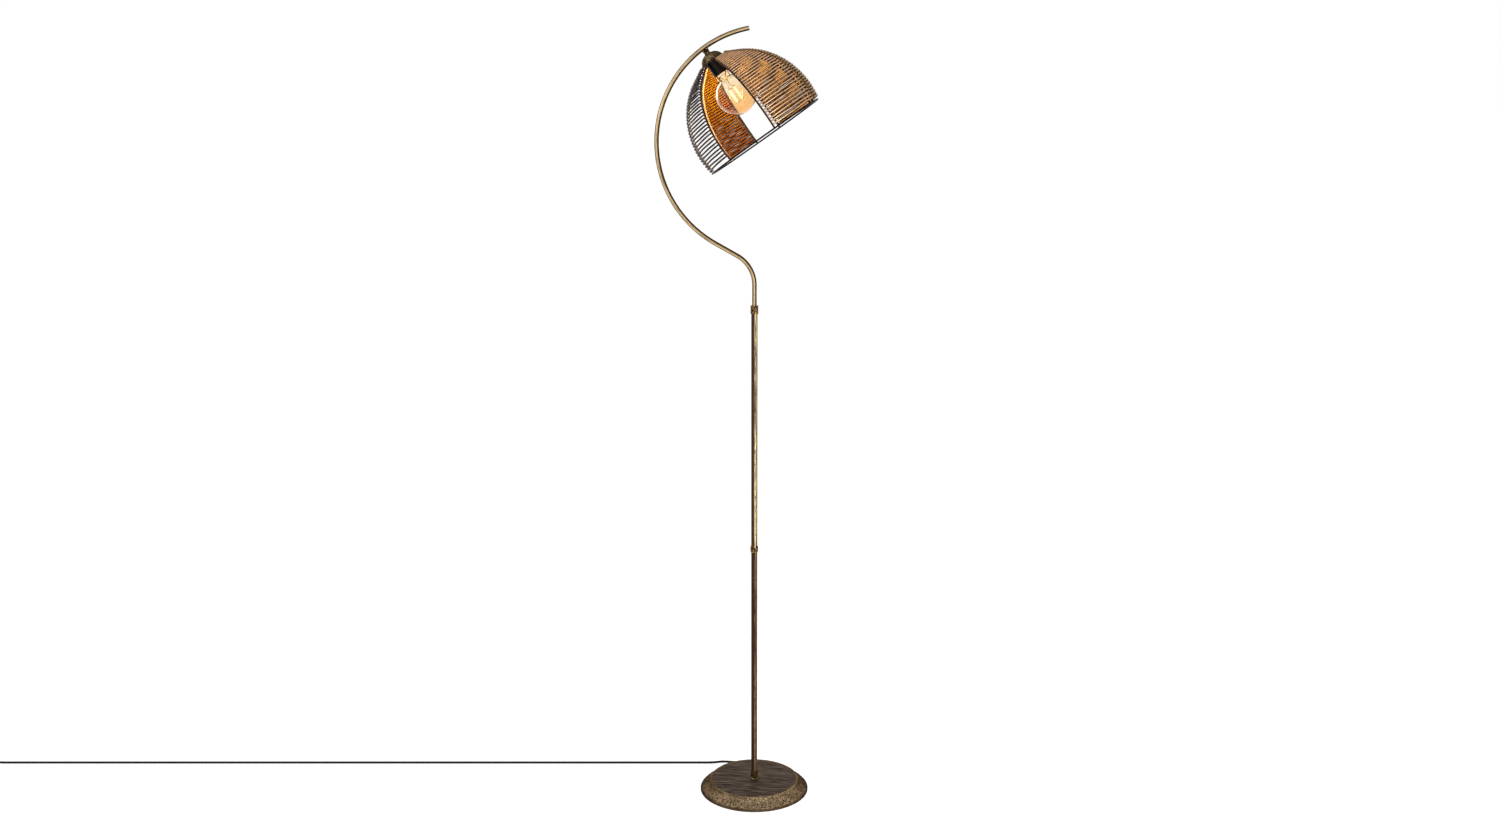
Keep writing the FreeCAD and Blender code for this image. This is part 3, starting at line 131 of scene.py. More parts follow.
# From the strain relief down to the floor, along it, and up into the switch.
lead_route = [(-0.06222, 0.110899, 0.0062), (-0.078044, 0.113264, 0.0062),
              (-0.10233, 0.112354, 0.0025), (-0.126518, 0.110025, 0.0025),
              (-1.658134, -0.037454, 0.0025), (-1.682023, -0.039754, 0.0025),
              (-1.705836, -0.04285, 0.0046), (-1.728806, -0.044259, 0.008),
              (-1.747719, -0.04608, 0.008)]


def cord_curve(name, route, steps):
    """Round cord on one smooth spline through given control points."""
    data = bpy.data.curves.new(name, "CURVE")
    data.dimensions = "3D"
    data.bevel_depth = cord_diameter / 2
    data.bevel_resolution = 6
    data.use_fill_caps = True
    spline = data.splines.new("NURBS")
    spline.points.add(len(route) - 1)
    for point, place in zip(spline.points, route):
        point.co = (*place, 1.0)
    spline.order_u = 3
    spline.use_endpoint_u = True
    spline.resolution_u = steps
    piece = bpy.data.objects.new(name, data)
    bpy.context.scene.collection.objects.link(piece)
    return piece


lead = cord_curve("mains_lead", lead_route, steps=16)
lead.data.materials.append(black_pvc)
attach(lead, "stand")
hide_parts("cord_lead")

# Spare lead, from the switch to the plug
# The same lead, wound into a put-away coil of four turns in two layers, with a short
# free stretch on each side. A rubber band holds the turns together.
along = Vector((-0.995396, -0.095846, 0.0))
aside = Vector((0.095846, -0.995396, 0.0))
run_start = Vector((-0.0655, 0.1159, 0.0))
coil_start = 1.794
coil_turns = 4
coil_radius = 0.0336
coil_step = 0.0056
coil_low = 0.0038
coil_crossing = 0.25  # in turns, on each side of the middle
points_per_turn = 24


def by_run(distance, z):
    """Place above the line on which the lead runs over the floor."""
    return run_start + along * distance + Vector((0, 0, z))


def coil_place(turns):
    """In on the lower layer, out again on the upper one."""
    middle = coil_turns / 2
    away = abs(turns - middle)
    spiral = away
    if away < coil_crossing:
        spiral = (coil_crossing + away * away / coil_crossing) / 2
    radius = coil_radius - coil_step * (middle - spiral)
    rise = min(max((turns - middle + coil_crossing) / (2 * coil_crossing), 0.0), 1.0)
    z = coil_low + coil_step * rise * rise * (3 - 2 * rise)
    centre = by_run(coil_start, z) - aside * coil_radius
    a = 2 * math.pi * turns
    return centre + aside * (radius * math.cos(a)) + along * (radius * math.sin(a))


link_route = [by_run(1.748, 0.008), by_run(1.761, 0.008), by_run(1.776, 0.0038),
              by_run(1.789, 0.0038)]
coil_route = [coil_place(i / points_per_turn)
              for i in range(coil_turns * points_per_turn + 1)]
tail_route = [by_run(1.799, 0.0094), by_run(1.809, 0.0094), by_run(1.820, 0.0078),
              by_run(1.830, 0.0078)]
spare = cord_curve("spare_lead", link_route + coil_route + tail_route, steps=6)
spare.data.materials.append(black_pvc)
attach(spare, "stand")
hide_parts("cord_link", "cord_coil", "cord_tail")


# Floor pad, bottom plate and weight
# A disc of wool felt is glued under a zinc plated steel plate. A cast iron weight lies on
# the plate and keeps the lamp upright.
def give(finish, *names):
    """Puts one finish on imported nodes."""
    for name in names:
        slots = frame["nodes"][name].data.materials
        slots.clear()
        slots.append(finish)


# Felt looks dull and fuzzy, zinc has a cold satin shine, and the iron is dark with the grain
# of its sand mould.
wool_felt = mottled("pressed_wool_felt", "3a3532", "24211f", size_mm=(0.8, 0.8, 0.8),
                    rough=(0.9, 1.0), bump_mm=0.3, Sheen_Weight=0.3)
zinc_plate = mottled("zinc_plated_steel", "b9bcc0", "9a9da3", size_mm=(6.0, 6.0, 6.0),
                     rough=(0.3, 0.42), bump_mm=0.02, Metallic=1.0)
cast_iron = mottled("sand_cast_iron", "45423f", "2b2927", size_mm=(1.5, 1.5, 1.5),
                    rough=(0.6, 0.8), bump_mm=0.25, Metallic=0.7)
give(wool_felt, "base_pad")
give(zinc_plate, "base_plate", "base_nipple", "base_washer", "base_nut")
give(cast_iron, "base_weight")


# Base cover
# Spun steel dish with a bead round its flat top, sprayed in brass lacquer, overpainted in
# dark brown patina and brushed back by hand.
def brushed(tree, place, detail=5.0, distortion=0.0):
    """Noise for strokes, from a place that is already stretched along them."""
    return add(tree, "TexNoise", {"Vector": place, "Scale": 1.0, "Detail": detail,
                                  "Roughness": 0.62, "Distortion": distortion}).outputs[0]


def ramped(tree, value, low, high, to_low=0.0, to_high=1.0):
    """Value moved to another range, smoothly and held at its ends."""
    return add(tree, "MapRange", {"Value": value, "From Min": low, "From Max": high,
                                  "To Min": to_low, "To Max": to_high},
               interpolation_type="SMOOTHSTEP").outputs[0]


def times(tree, a, b, operation="MULTIPLY"):
    """Product, or the result of another operation, held between 0 and 1."""
    return add(tree, "Math", {0: a, 1: b}, operation=operation, use_clamp=True).outputs[0]


def blended(tree, factor, a, b):
    """Colour a where the factor is 0, b where it is 1."""
    return add(tree, "Mix", {0: factor, 6: a, 7: b}, data_type="RGBA").outputs[2]


# The top stays dark with loose brush strokes, the band shows the brass in short scratches, the
# bead is rubbed bright and the lip stays brown. Band and bead are painted lighter towards the
# front right, a painted highlight.
brown_shine = (0.2, 0.16, 0.12, 1.0)
base_finish, tree, shader = material("brushed_back_patina_on_spun_steel", Metallic=0.85,
                                     Specular_IOR_Level=0.15, Specular_Tint=brown_shine)
place = add(tree, "TexCoord").outputs["Object"]
flat = add(tree, "VectorMath", {0: place, 1: (1.0, 1.0, 0.0)}, operation="MULTIPLY").outputs[0]
from_axis = add(tree, "VectorMath", {0: flat}, operation="LENGTH").outputs["Value"]
# The zones from the axis out, each with a soft edge: flat top, bead, band and lip.
top_radius = 0.0906
lip_radius = 0.115
band = ramped(tree, from_axis, top_radius - 0.004, top_radius + 0.002)
bead = times(tree, ramped(tree, from_axis, top_radius - 0.0005, top_radius + 0.0012),
             ramped(tree, from_axis, top_radius + 0.0032, top_radius + 0.0016))
dark_lip = ramped(tree, from_axis, lip_radius - 0.004, lip_radius - 0.0012)


def strokes_turned(degrees, length_mm, width_mm):
    """Strokes of a brush drawn across the top in one direction."""
    turned = add(tree, "Mapping", {"Vector": place, "Rotation": (0, 0, math.radians(degrees)),
                                   "Scale": (1000 / length_mm, 1000 / width_mm, 1000 / width_mm)})
    return brushed(tree, turned.outputs[0], distortion=0.5)


patches = brushed(tree, grain_at(tree, (45.0, 45.0, 45.0)), detail=1.0)
patches = ramped(tree, patches, 0.42, 0.58)
across = add(tree, "Mix", {0: patches,
                           2: strokes_turned(degrees=18, length_mm=60, width_mm=3.2),
                           3: strokes_turned(degrees=-52, length_mm=50, width_mm=2.8)}).outputs[0]
top_tone = ramped(tree, across, 0.36, 0.66)
scratch = brushed(tree, grain_at(tree, (3.0, 3.0, 3.0)), detail=8.0, distortion=1.2)
fine = brushed(tree, grain_at(tree, (1.1, 1.1, 1.1)), detail=4.0)
broad = brushed(tree, grain_at(tree, (26.0, 26.0, 26.0)), detail=2.0)
band_tone = times(tree, ramped(tree, scratch, 0.41, 0.58), ramped(tree, fine, 0.3, 0.6))
band_tone = times(tree, band_tone, ramped(tree, broad, 0.3, 0.62, to_low=0.6))
# Painted highlight: band and bead are drawn lighter towards the front right and darker at the
# back.
painted_highlight_side = (0.4, -1.0, 0.0)
towards_painted_highlight = add(tree, "VectorMath", {0: place, 1: painted_highlight_side},
                 operation="DOT_PRODUCT").outputs["Value"]
painted_front_highlight = ramped(tree, towards_painted_highlight, 0.0, 0.1, to_low=0.4)
band_tone = times(tree, band_tone, painted_front_highlight)
bead = times(tree, bead, times(tree, painted_front_highlight, ramped(tree, broad, 0.35, 0.6, to_low=0.3)))
top_colour = blended(tree, top_tone, colour("342c27"), colour("7a6d63"))
band_colour = blended(tree, band_tone, colour("2b211a"), colour("c4a781"))
hiding = 0.75
cover_colour = blended(tree, band, top_colour, band_colour)
cover_colour = blended(tree, times(tree, dark_lip, hiding), cover_colour, colour("33261b"))
cover_colour = blended(tree, times(tree, bead, hiding), cover_colour, colour("c2a576"))
tree.links.new(cover_colour, shader.inputs["Base Color"])
cover_gloss = ramped(tree, band_tone, 0.0, 1.0, to_low=0.5, to_high=0.3)
tree.links.new(cover_gloss, shader.inputs["Roughness"])
height = add(tree, "Mix", {0: band, 2: across, 3: scratch}).outputs[0]
scratch_depth = 0.0003
bump = add(tree, "Bump", {"Height": height, "Distance": scratch_depth, "Strength": 0.7})
tree.links.new(bump.outputs[0], shader.inputs["Normal"])
give(base_finish, "base_cover")


# Strain relief and the cables inside
# A tapered sleeve of soft black PVC is moulded on the lead where it leaves the base. Behind
# it a cable with a white PVC sheath runs up through pole and arm to the lampholder.

# Both are smooth and a little waxy, with the faint cloud of soft plastic.
moulded_pvc = mottled("moulded_black_pvc", "1d1c1b", "121111", size_mm=(1.2, 1.2, 1.2),
                      rough=(0.45, 0.6), bump_mm=0.06)
white_pvc = mottled("white_pvc_sheath", "e6e3dc", "d5d1c8", size_mm=(3.0, 3.0, 3.0),
                    rough=(0.4, 0.5), bump_mm=0.05)
give(moulded_pvc, "cord_strain_relief")
give(white_pvc, "base_cable", "pole_cable", "arm_cable", "head_wires")


# Pole
# Two drawn steel tubes, screwed together under a turned collar and standing in a turned
# ferrule. They are sprayed in brass lacquer and rubbed with patina.
def sweep(name, tubes, sides, closed=False):
    """Mesh of round tubes. A station is a centre, a heading, a direction across and a radius.

    The grain is each point's place in the section and its distance along the tube.
    """
    places = []
    grain = []
    faces = []
    for stations in tubes:
        first = len(places)
        travelled = 0.0
        before = stations[0][0]
        for centre, heading, side, radius in stations:
            travelled += (centre - before).length
            before = centre
            other = heading.cross(side).normalized()
            for i in range(sides):
                a = 2 * math.pi * i / sides
                places.append(centre + (side * math.cos(a) + other * math.sin(a)) * radius)
                grain += [radius * math.cos(a), radius * math.sin(a), travelled]
        count = len(stations)
        for k in range(count if closed else count - 1):
            low = first + k * sides
            high = first + (k + 1) % count * sides
            for i in range(sides):
                j = (i + 1) % sides
                faces.append((low + i, low + j, high + j, high + i))
        if not closed:
            faces.append(tuple(range(first + sides - 1, first - 1, -1)))
            faces.append(tuple(range(first + (count - 1) * sides, first + count * sides)))
    mesh = bpy.data.meshes.new(name)
    mesh.from_pydata(places, [], faces)
    mesh.attributes.new("grain", "FLOAT_VECTOR", "POINT").data.foreach_set("vector", grain)
    mesh.shade_smooth()
    mesh.set_sharp_from_angle(angle=math.radians(40))
    piece = bpy.data.objects.new(name, mesh)
    bpy.context.scene.collection.objects.link(piece)
    return piece


def patinated(name, brass, patina, stroke_mm, speck_mm, cover, rough, metal, swept=False,
              painted_light_stripe=None, middle=0.0, towards_rim=None, **sockets):
    """Brass coloured lacquer under dark patina that was brushed back along the strokes.

    The patina stays where the strokes are lower than cover. On a swept piece it also darkens
    everything beside a lighter stripe, a painted highlight with painted shade on both sides,
    whose half width and distance from the centre line are in metres.
    """
    made, tree, shader = material(name, Specular_IOR_Level=0.15, **sockets)
    strokes = brushed(tree, grain_at(tree, stroke_mm, swept))
    specks = brushed(tree, grain_at(tree, speck_mm, swept))
    worn = times(tree, ramped(tree, strokes, 0.38, 0.62), ramped(tree, specks, 0.3, 0.55))
    softness = 0.35
    shown = ramped(tree, worn, cover - softness, cover + softness)
    # Painted highlight and painted shade: the stripe keeps the brass, and both sides of it take
    # the patina colour.
    if painted_light_stripe:
        section = add(tree, "Attribute", attribute_name="grain").outputs["Vector"]
        across = add(tree, "SeparateXYZ", {0: section}).outputs["X"]
        shifted = add(tree, "Math", {0: across, 1: middle}, operation="SUBTRACT").outputs[0]
        from_highlight_line = add(tree, "Math", {0: shifted}, operation="ABSOLUTE").outputs[0]
        shown = times(tree, shown, ramped(tree, from_highlight_line, painted_light_stripe, painted_light_stripe / 2))
    bright = colour(brass)
    if towards_rim:
        # The lacquer is drawn changing to this colour from the middle of the shade down to its
        # rim;
        # the change is painted light on one real finish.
        rim_height, middle_height = 1.37, 1.46
        above_floor = add(tree, "TexCoord").outputs["Object"]
        height = add(tree, "SeparateXYZ", {0: above_floor}).outputs["Z"]
        bright = blended(tree, ramped(tree, height, rim_height, middle_height),
                         colour(towards_rim), bright)
    tree.links.new(blended(tree, shown, colour(patina), bright), shader.inputs["Base Color"])
    tree.links.new(ramped(tree, shown, 0.0, 1.0, rough[1], rough[0]), shader.inputs["Roughness"])
    tree.links.new(ramped(tree, shown, 0.0, 1.0, metal[0], metal[1]), shader.inputs["Metallic"])
    stroke_depth = 0.00012
    bump = add(tree, "Bump", {"Height": strokes, "Distance": stroke_depth, "Strength": 0.6})
    tree.links.new(bump.outputs[0], shader.inputs["Normal"])
    return made


def pole_finish(name, brass, patina, cover):
    """Lacquer on a pole tube, with a painted highlight right of its centre line and painted shade
    beside it.
    """
    return patinated(name, brass, patina, stroke_mm=(1.1, 1.1, 70.0), speck_mm=(0.8, 0.8, 12.0),
                     cover=cover, rough=(0.3, 0.4), metal=(0.1, 0.8), swept=True,
                     painted_light_stripe=0.004, middle=0.0032, Specular_Tint=brown_shine,
                     Anisotropic=0.95, Anisotropic_Rotation=0.25)


# A painted highlight right of the centre line shows the brass in long thin streaks, with painted
# shade on both sides, and the lacquer has a lengthwise shine. The lower tube kept more patina, the
# turned rings keep it in spots between their tool marks, and the threads have the cold shine of
# zinc.
pole_brass = pole_finish("patina_brushed_lengthwise_on_steel_tube", "cfb587", "43342a", 0.32)
lower_brass = pole_finish("dark_patina_brushed_lengthwise_on_steel_tube", "86664b", "38281e", 0.4)
turned_brass = patinated("patina_on_turned_brass", "a88754", "150e09", stroke_mm=(4.0, 4.0, 1.6),
                         speck_mm=(1.6, 1.6, 1.6), cover=0.58, rough=(0.24, 0.4),
                         metal=(0.2, 0.95), Specular_Tint=(0.1, 0.08, 0.06, 1.0))
zinc_thread = mottled("zinc_plated_thread", "b3b1a6", "8f8d84", size_mm=(2.0, 2.0, 0.7),
                      rough=(0.3, 0.4), bump_mm=0.08, Metallic=1.0)


def straight_tube(node, finish):
    """Upright tube in place of a packed one, with a small break at both ends."""
    low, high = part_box(node)
    radius = (high.x - low.x) / 2
    edge_break = 0.0004
    steps = 40
    levels = [(low.z, radius - edge_break), (low.z + edge_break, radius)]
    for i in range(1, steps):
        levels.append((low.z + (high.z - low.z) * i / steps, radius))
    levels += [(high.z - edge_break, radius), (high.z, radius - edge_break)]
    upwards = Vector((0, 0, 1))
    right = Vector((1, 0, 0))
    stations = [(Vector((0, 0, z)), upwards, right, r) for z, r in levels]
    piece = sweep(node + "_tube", [stations], sides=48)
    piece.data.materials.append(finish)
    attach(piece, "stand")
    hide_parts(node)


straight_tube("lower_pole", lower_brass)
straight_tube("upper_pole", pole_brass)
give(turned_brass, "base_ferrule", "pole_collar", "top_collar")
give(zinc_thread, "pole_joint_nipple", "swivel_bush")

# Arm
# A thinner steel tube, bent by hand round a large former into an open hoop. It turns with
# its stem in the pole. A small plug closes the end.
arm_radius = 0.0046
arm_bore = 0.0036
hoop_radius = 0.2243
hoop_centre = Vector((0.0298, 0.0, 1.3674))
bend_radius = 0.066
bend_turn = math.radians(61.0)
tip_polar = math.radians(100.4)  # from the right, as all angles round the hoop
sideways = Vector((0, 1, 0))


def arc_through(a, b, c):
    """Place and heading on the circle from a through b to c, by a share of the way."""
    ab = b - a
    ac = c - a
    normal = ab.cross(ac)
    to_centre = normal.cross(ab) * ac.length_squared + ac.cross(normal) * ab.length_squared
    centre = a + to_centre / (2 * normal.length_squared)
    radius = (a - centre).length
    start = (a - centre).normalized()
    ahead = normal.normalized().cross(start)
    turn = math.atan2((c - centre).dot(ahead), (c - centre).dot(start)) % (2 * math.pi)

    def at(share):
        t = turn * share
        out = start * math.cos(t) + ahead * math.sin(t)
        return centre + out * radius, ahead * math.cos(t) - start * math.sin(t)

    return at


def in_arm_plane(angle):
    """Direction in the upright plane of the arm."""
    return Vector((math.cos(angle), 0, math.sin(angle)))


def on_hoop(polar):
    """Place on the hoop's centre line."""
    return hoop_centre + in_arm_plane(polar) * hoop_radius


# Stem and hoop would meet in a sharp corner, which the bend rounds off.
corner_z = hoop_centre.z - ((hoop_radius - hoop_centre.x * math.cos(bend_turn))
                            / math.sin(bend_turn))
trim = bend_radius * math.tan(bend_turn / 2)
bend_low = Vector((0, 0, corner_z - trim))
bend_high = Vector((-trim * math.sin(bend_turn), 0, corner_z + trim * math.cos(bend_turn)))
bend_centre = bend_low - Vector((bend_radius, 0, 0))
bend_middle = bend_centre + in_arm_plane(bend_turn / 2) * bend_radius
hoop_low = math.pi + bend_turn
bend = arc_through(bend_low, bend_middle, bend_high)
hoop = arc_through(on_hoop(hoop_low), on_hoop((hoop_low + tip_polar) / 2), on_hoop(tip_polar))
stem_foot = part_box("arm_tube")[0].z
stem_steps = 12
bend_steps = 24
hoop_steps = 110
arm_line = []
for i in range(stem_steps):
    z = stem_foot + (bend_low.z - stem_foot) * i / stem_steps
    arm_line.append((Vector((0, 0, z)), Vector((0, 0, 1))))
arm_line += [bend(i / bend_steps) for i in range(bend_steps + 1)]
arm_line += [hoop(i / hoop_steps) for i in range(hoop_steps + 1)]
stations = [(p, h, sideways.cross(h), arm_radius) for p, h in arm_line]
tip, tip_heading = arm_line[-1]
across = sideways.cross(tip_heading)
# The sawn end with both edges broken, open as deep as the plug sits back.
edge_break = 0.0002
bore_break = 0.0001
recess = 0.0022
stations += [(tip + tip_heading * edge_break, tip_heading, across, arm_radius - edge_break),
             (tip + tip_heading * edge_break, tip_heading, across, arm_bore + bore_break),
             (tip, tip_heading, across, arm_bore),
             (tip - tip_heading * recess, tip_heading, across, arm_bore)]
# The brass shows more than on the pole. A painted highlight runs along both flanks, and painted
# shade darkens the inner and outer side of the bend.
arm_brass = patinated("patina_brushed_along_bent_tube", "e2c492", "352819",
                      stroke_mm=(0.9, 0.9, 140.0), speck_mm=(0.7, 0.7, 14.0), cover=0.2,
                      rough=(0.26, 0.4), metal=(0.1, 0.8), swept=True, painted_light_stripe=0.00285,
                      middle=-0.0006, Specular_Tint=brown_shine)
arm = sweep("arm_hoop", [stations], sides=40)
arm.data.materials.append(arm_brass)
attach(arm, "arm")
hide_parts("arm_tube")
# The plug is plain matt polyethylene.
dark_plastic = mottled("black_polyethylene_plug", "161412", "0c0b0a", size_mm=(1.0, 1.0, 1.0),
                       rough=(0.5, 0.65), bump_mm=0.03)
give(turned_brass, "arm_collar", "arm_boss")
give(dark_plastic, "arm_end_plug")

# Stem ring, cup and what holds the head
# A hollow threaded nipple hangs from the boss under the arm and carries a turned ring, a
# pressed brass cup, a fibre washer and a nut.

# The cup is browner than the arm and a little green, with an uneven wiped shine. The fibre
# is dull.
vulcanised_fibre = mottled("red_vulcanised_fibre", "7c3a2a", "5f2b20", size_mm=(1.0, 1.0, 1.0),
                           rough=(0.6, 0.7), bump_mm=0.05)
cup_brass = patinated("patina_rubbed_unevenly_on_pressed_brass", "877456", "43371f",
                      stroke_mm=(20.0, 14.0, 14.0), speck_mm=(3.0, 3.0, 3.0), cover=0.36,
                      rough=(0.3, 0.42), metal=(0.5, 0.9), Specular_Tint=(0.1, 0.08, 0.05, 1.0))
give(zinc_thread, "head_nipple")
give(turned_brass, "stem_ring")
give(cup_brass, "cup")
give(vulcanised_fibre, "fibre_washer")
give(zinc_plate, "head_nut")

# Lampholder
# Black phenolic moulding in two halves with two turned grip grooves. It holds a ceramic
# core, a nickel plated screw shell and a phosphor bronze contact.

# The moulding has a soft shine, the glaze a hard one, and the metals mirror dimly.
phenolic = mottled("moulded_black_phenolic", "100c09", "070504", size_mm=(2.5, 2.5, 2.5),
                   rough=(0.3, 0.4), bump_mm=0.02, Specular_IOR_Level=0.2)
steatite = mottled("glazed_white_steatite", "e9e6de", "dcd8cc", size_mm=(4.0, 4.0, 4.0),
                   rough=(0.2, 0.3), bump_mm=0.02)
nickel = mottled("nickel_plated_brass", "c9c3b4", "aaa494", size_mm=(2.0, 2.0, 2.0),
                 rough=(0.18, 0.28), bump_mm=0.01, Metallic=1.0)
bronze_leaf = mottled("phosphor_bronze_leaf", "b98a4e", "a27840", size_mm=(2.0, 2.0, 2.0),
                      rough=(0.25, 0.35), bump_mm=0.01, Metallic=1.0)
give(phenolic, "holder_cap", "holder_body")
give(steatite, "holder_core")
give(nickel, "holder_shell", "bulb_cap")
give(bronze_leaf, "holder_contact")

# Bulb
# Blown globe in amber tinted glass on a nickel plated cap, with a clear pinched stem and
# four glowing stick filaments on fine wires. Their light falls through the glass onto the
# wires of the shade, which makes these glow on the inner side.

# The glass is clear and faintly wavy. Its amber tint is painted paler near the neck, a painted
# glow of the filaments that light it from inside.
amber_glass, tree, shader = material("amber_tinted_blown_glass", Transmission_Weight=1.0, IOR=1.5,
                                     Roughness=0.0)
head_joint = next(joint for joint in frame["joints"] if joint["name"] == "head_turn")
shade_axis = Vector(head_joint["axis"])
neck_from_joint = 0.060
bulb_neck = Vector(head_joint["pos_m"]) + shade_axis * neck_from_joint
place = add(tree, "TexCoord").outputs["Object"]
from_neck = add(tree, "VectorMath", {0: place, 1: bulb_neck}, operation="SUBTRACT").outputs[0]
down_bulb = add(tree, "VectorMath", {0: from_neck, 1: shade_axis},
                operation="DOT_PRODUCT").outputs["Value"]
streaks = brushed(tree, grain_at(tree, (30.0, 30.0, 30.0)), detail=2.0)
tint_unevenness = 0.02
wavy = add(tree, "Math", {0: streaks, 1: tint_unevenness, 2: down_bulb},
           operation="MULTIPLY_ADD").outputs[0]
# Nearer the neck than this the glass is painted pale, a painted glow.
painted_glow_ends_at = 0.02
tint_full = 0.1
tint_and_painted_glow = blended(tree, ramped(tree, wavy, painted_glow_ends_at, tint_full), colour("fff6e2"),
               colour("fbd49a"))
tree.links.new(tint_and_painted_glow, shader.inputs["Base Color"])
blowing_marks = 0.0004
wave = add(tree, "Bump", {"Height": streaks, "Distance": blowing_marks, "Strength": 0.3})
tree.links.new(wave.outputs[0], shader.inputs["Normal"])
# The stem is drawn out thin and hollow, so it bends light less than solid glass.
clear_glass, tree, shader = material("clear_drawn_glass", Transmission_Weight=1.0, IOR=1.15,
                                     Base_Color=colour("fff3dd"))
seeds = brushed(tree, grain_at(tree, (2.0, 2.0, 6.0)), detail=2.0)
tree.links.new(ramped(tree, seeds, 0.3, 0.7, to_high=0.06), shader.inputs["Roughness"])
# The phosphor on the sticks glows unevenly, like a row of beads.
hot_filament, tree, shader = material("glowing_phosphor_stick", Roughness=0.6,
                                      Base_Color=colour("ffeeb8"), Emission_Strength=1.5)
beads = brushed(tree, grain_at(tree, (1.0, 1.0, 1.0)), detail=2.0)
glow = blended(tree, ramped(tree, beads, 0.35, 0.65), colour("ffdf8e"), colour("fff0b8"))
tree.links.new(glow, shader.inputs["Emission Color"])
# The lead wires are copper clad and have a dull red shine.
lead_wire = mottled("copper_clad_lead_wire", "b0845e", "8d6647", size_mm=(1.0, 1.0, 1.0),
                    rough=(0.3, 0.4), bump_mm=0.01, Metallic=1.0)
give(amber_glass, "bulb_glass")
give(clear_glass, "bulb_stem")
give(hot_filament, "bulb_filaments")
give(lead_wire, "bulb_leads")
give(steatite, "bulb_insulator")
give(bronze_leaf, "bulb_contact")
frame["nodes"]["bulb_glass"].visible_shadow = False
frame["nodes"]["bulb_stem"].visible_shadow = False

low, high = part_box("bulb_filaments")
glow_light = bpy.data.lights.new("bulb_glow", "POINT")
glow_light.energy = 1.8
glow_light.color = colour("ffdc92")[:3]
glow_light.shadow_soft_size = 0.014
glow_lamp = bpy.data.objects.new("bulb_glow", glow_light)
glow_lamp.location = (low + high) / 2
glow_lamp.visible_camera = False
glow_lamp.visible_glossy = False
glow_lamp.visible_transmission = False
bpy.context.scene.collection.objects.link(glow_lamp)
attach(glow_lamp, "head")

# Shade: top plate, ribs and rim
# A cage of mild steel wire. Eight upright ribs are welded under a pressed top plate and to
# a rim hoop, and leave an open window on each side of the bulb. All are sprayed.
shade_pose = (Matrix.Translation(head_joint["pos_m"])
              @ Vector((0, 0, -1)).rotation_difference(shade_axis).to_matrix().to_4x4())
shade_radial = 0.131
shade_axial = 0.146
shade_widest = 0.032
top_cone = 0.015
stem_height = 0.0297
cone_from = shade_widest + shade_axial - top_cone
rim_from_arm = shade_widest + shade_axial + stem_height
wire_radius = 0.00185
rib_radius = 0.0019
rim_radius = 0.0017
weld_gap = 0.0001
wire_seat = 2 * wire_radius
rib_inset = wire_seat + weld_gap + rib_radius
plate_low = 0.0309
# Azimuths in degrees round the shade's axis.
front_right_ribs = (16.8, 74.0)
back_right_ribs = (74.0, 121.0, 168.5)
back_left_ribs = (194.4, 227.0)
front_left_ribs = (266.0, 325.8)


def outline_point(height, inset):
    """Radius and height on the shade's outline, moved inwards square to it, and its slope."""
    curved = min(height, cone_from)
    lift = (curved - shade_widest) / shade_axial
    radius = shade_radial * math.sqrt(1 - lift * lift)
    slope = -shade_radial ** 2 * (curved - shade_widest) / (shade_axial ** 2 * radius)
    radius += slope * (height - curved)
    norm = math.hypot(1.0, slope)
    return radius - inset / norm, height + inset * slope / norm, slope


def shade_point(azimuth, height, inset):
    """Place in the shade by azimuth and height above the rim."""
    radius, level, _ = outline_point(height, inset)
    a = math.radians(azimuth)
    return shade_pose @ Vector((radius * math.sin(a), -radius * math.cos(a), level - rim_from_arm))


def turned_by_shade(vector):
    """Direction in the lamp of one given in the upright shade."""
    return shade_pose.to_3x3() @ vector


def rib_stations(azimuth):
    """Upright rib from the rim to the top plate."""
    steps = 36
    a = math.radians(azimuth)
    level = turned_by_shade(Vector((math.cos(a), math.sin(a), 0)))
    ceiling = rim_from_arm - plate_low - weld_gap - rib_radius
    top = rim_from_arm
    fine_step = 0.00005
    while outline_point(top, rib_inset)[1] > ceiling:
        top -= fine_step
    heights = [-rim_radius / 2 + (top + rim_radius / 2) * math.sin(math.pi / 2 * i / steps)
               for i in range(steps + 1)]
    line = [shade_point(azimuth, h, rib_inset) for h in heights]
    stations = []
    for i, place in enumerate(line):
        ahead = line[min(i + 1, steps)] - line[max(i - 1, 0)]
        stations.append((place, ahead.normalized(), level, rib_radius))
    return stations


# Plate and ribs are dark bronze and the rim is gunmetal, both nearly matt. The outer rib of each
# left panel is painted pale: a painted highlight in pale silver in front, and the painted glow of
# the bulb in pale copper behind.
rib_lacquer = patinated("dark_bronze_lacquer_on_wire", "5a463b", "1d1512",
                        stroke_mm=(1.2, 1.2, 22.0), speck_mm=(1.0, 1.0, 3.0), cover=0.5,
                        rough=(0.34, 0.48), metal=(0.3, 0.6), swept=True,
                        Specular_Tint=(0.2, 0.18, 0.16, 1.0))
painted_highlight_rib = patinated("pale_lacquer_as_painted_highlight_on_rib", "ece8e4", "c9c2bc",
                       stroke_mm=(1.2, 1.2, 40.0), speck_mm=(1.0, 1.0, 3.0), cover=0.3,
                       rough=(0.34, 0.48), metal=(0.1, 0.3), swept=True)
painted_glow_rib = patinated("pale_copper_as_painted_bulb_glow_on_rib", "e0b792", "a97b58",
                       stroke_mm=(1.2, 1.2, 40.0), speck_mm=(1.0, 1.0, 3.0), cover=0.3,
                       rough=(0.34, 0.48), metal=(0.1, 0.3), swept=True)
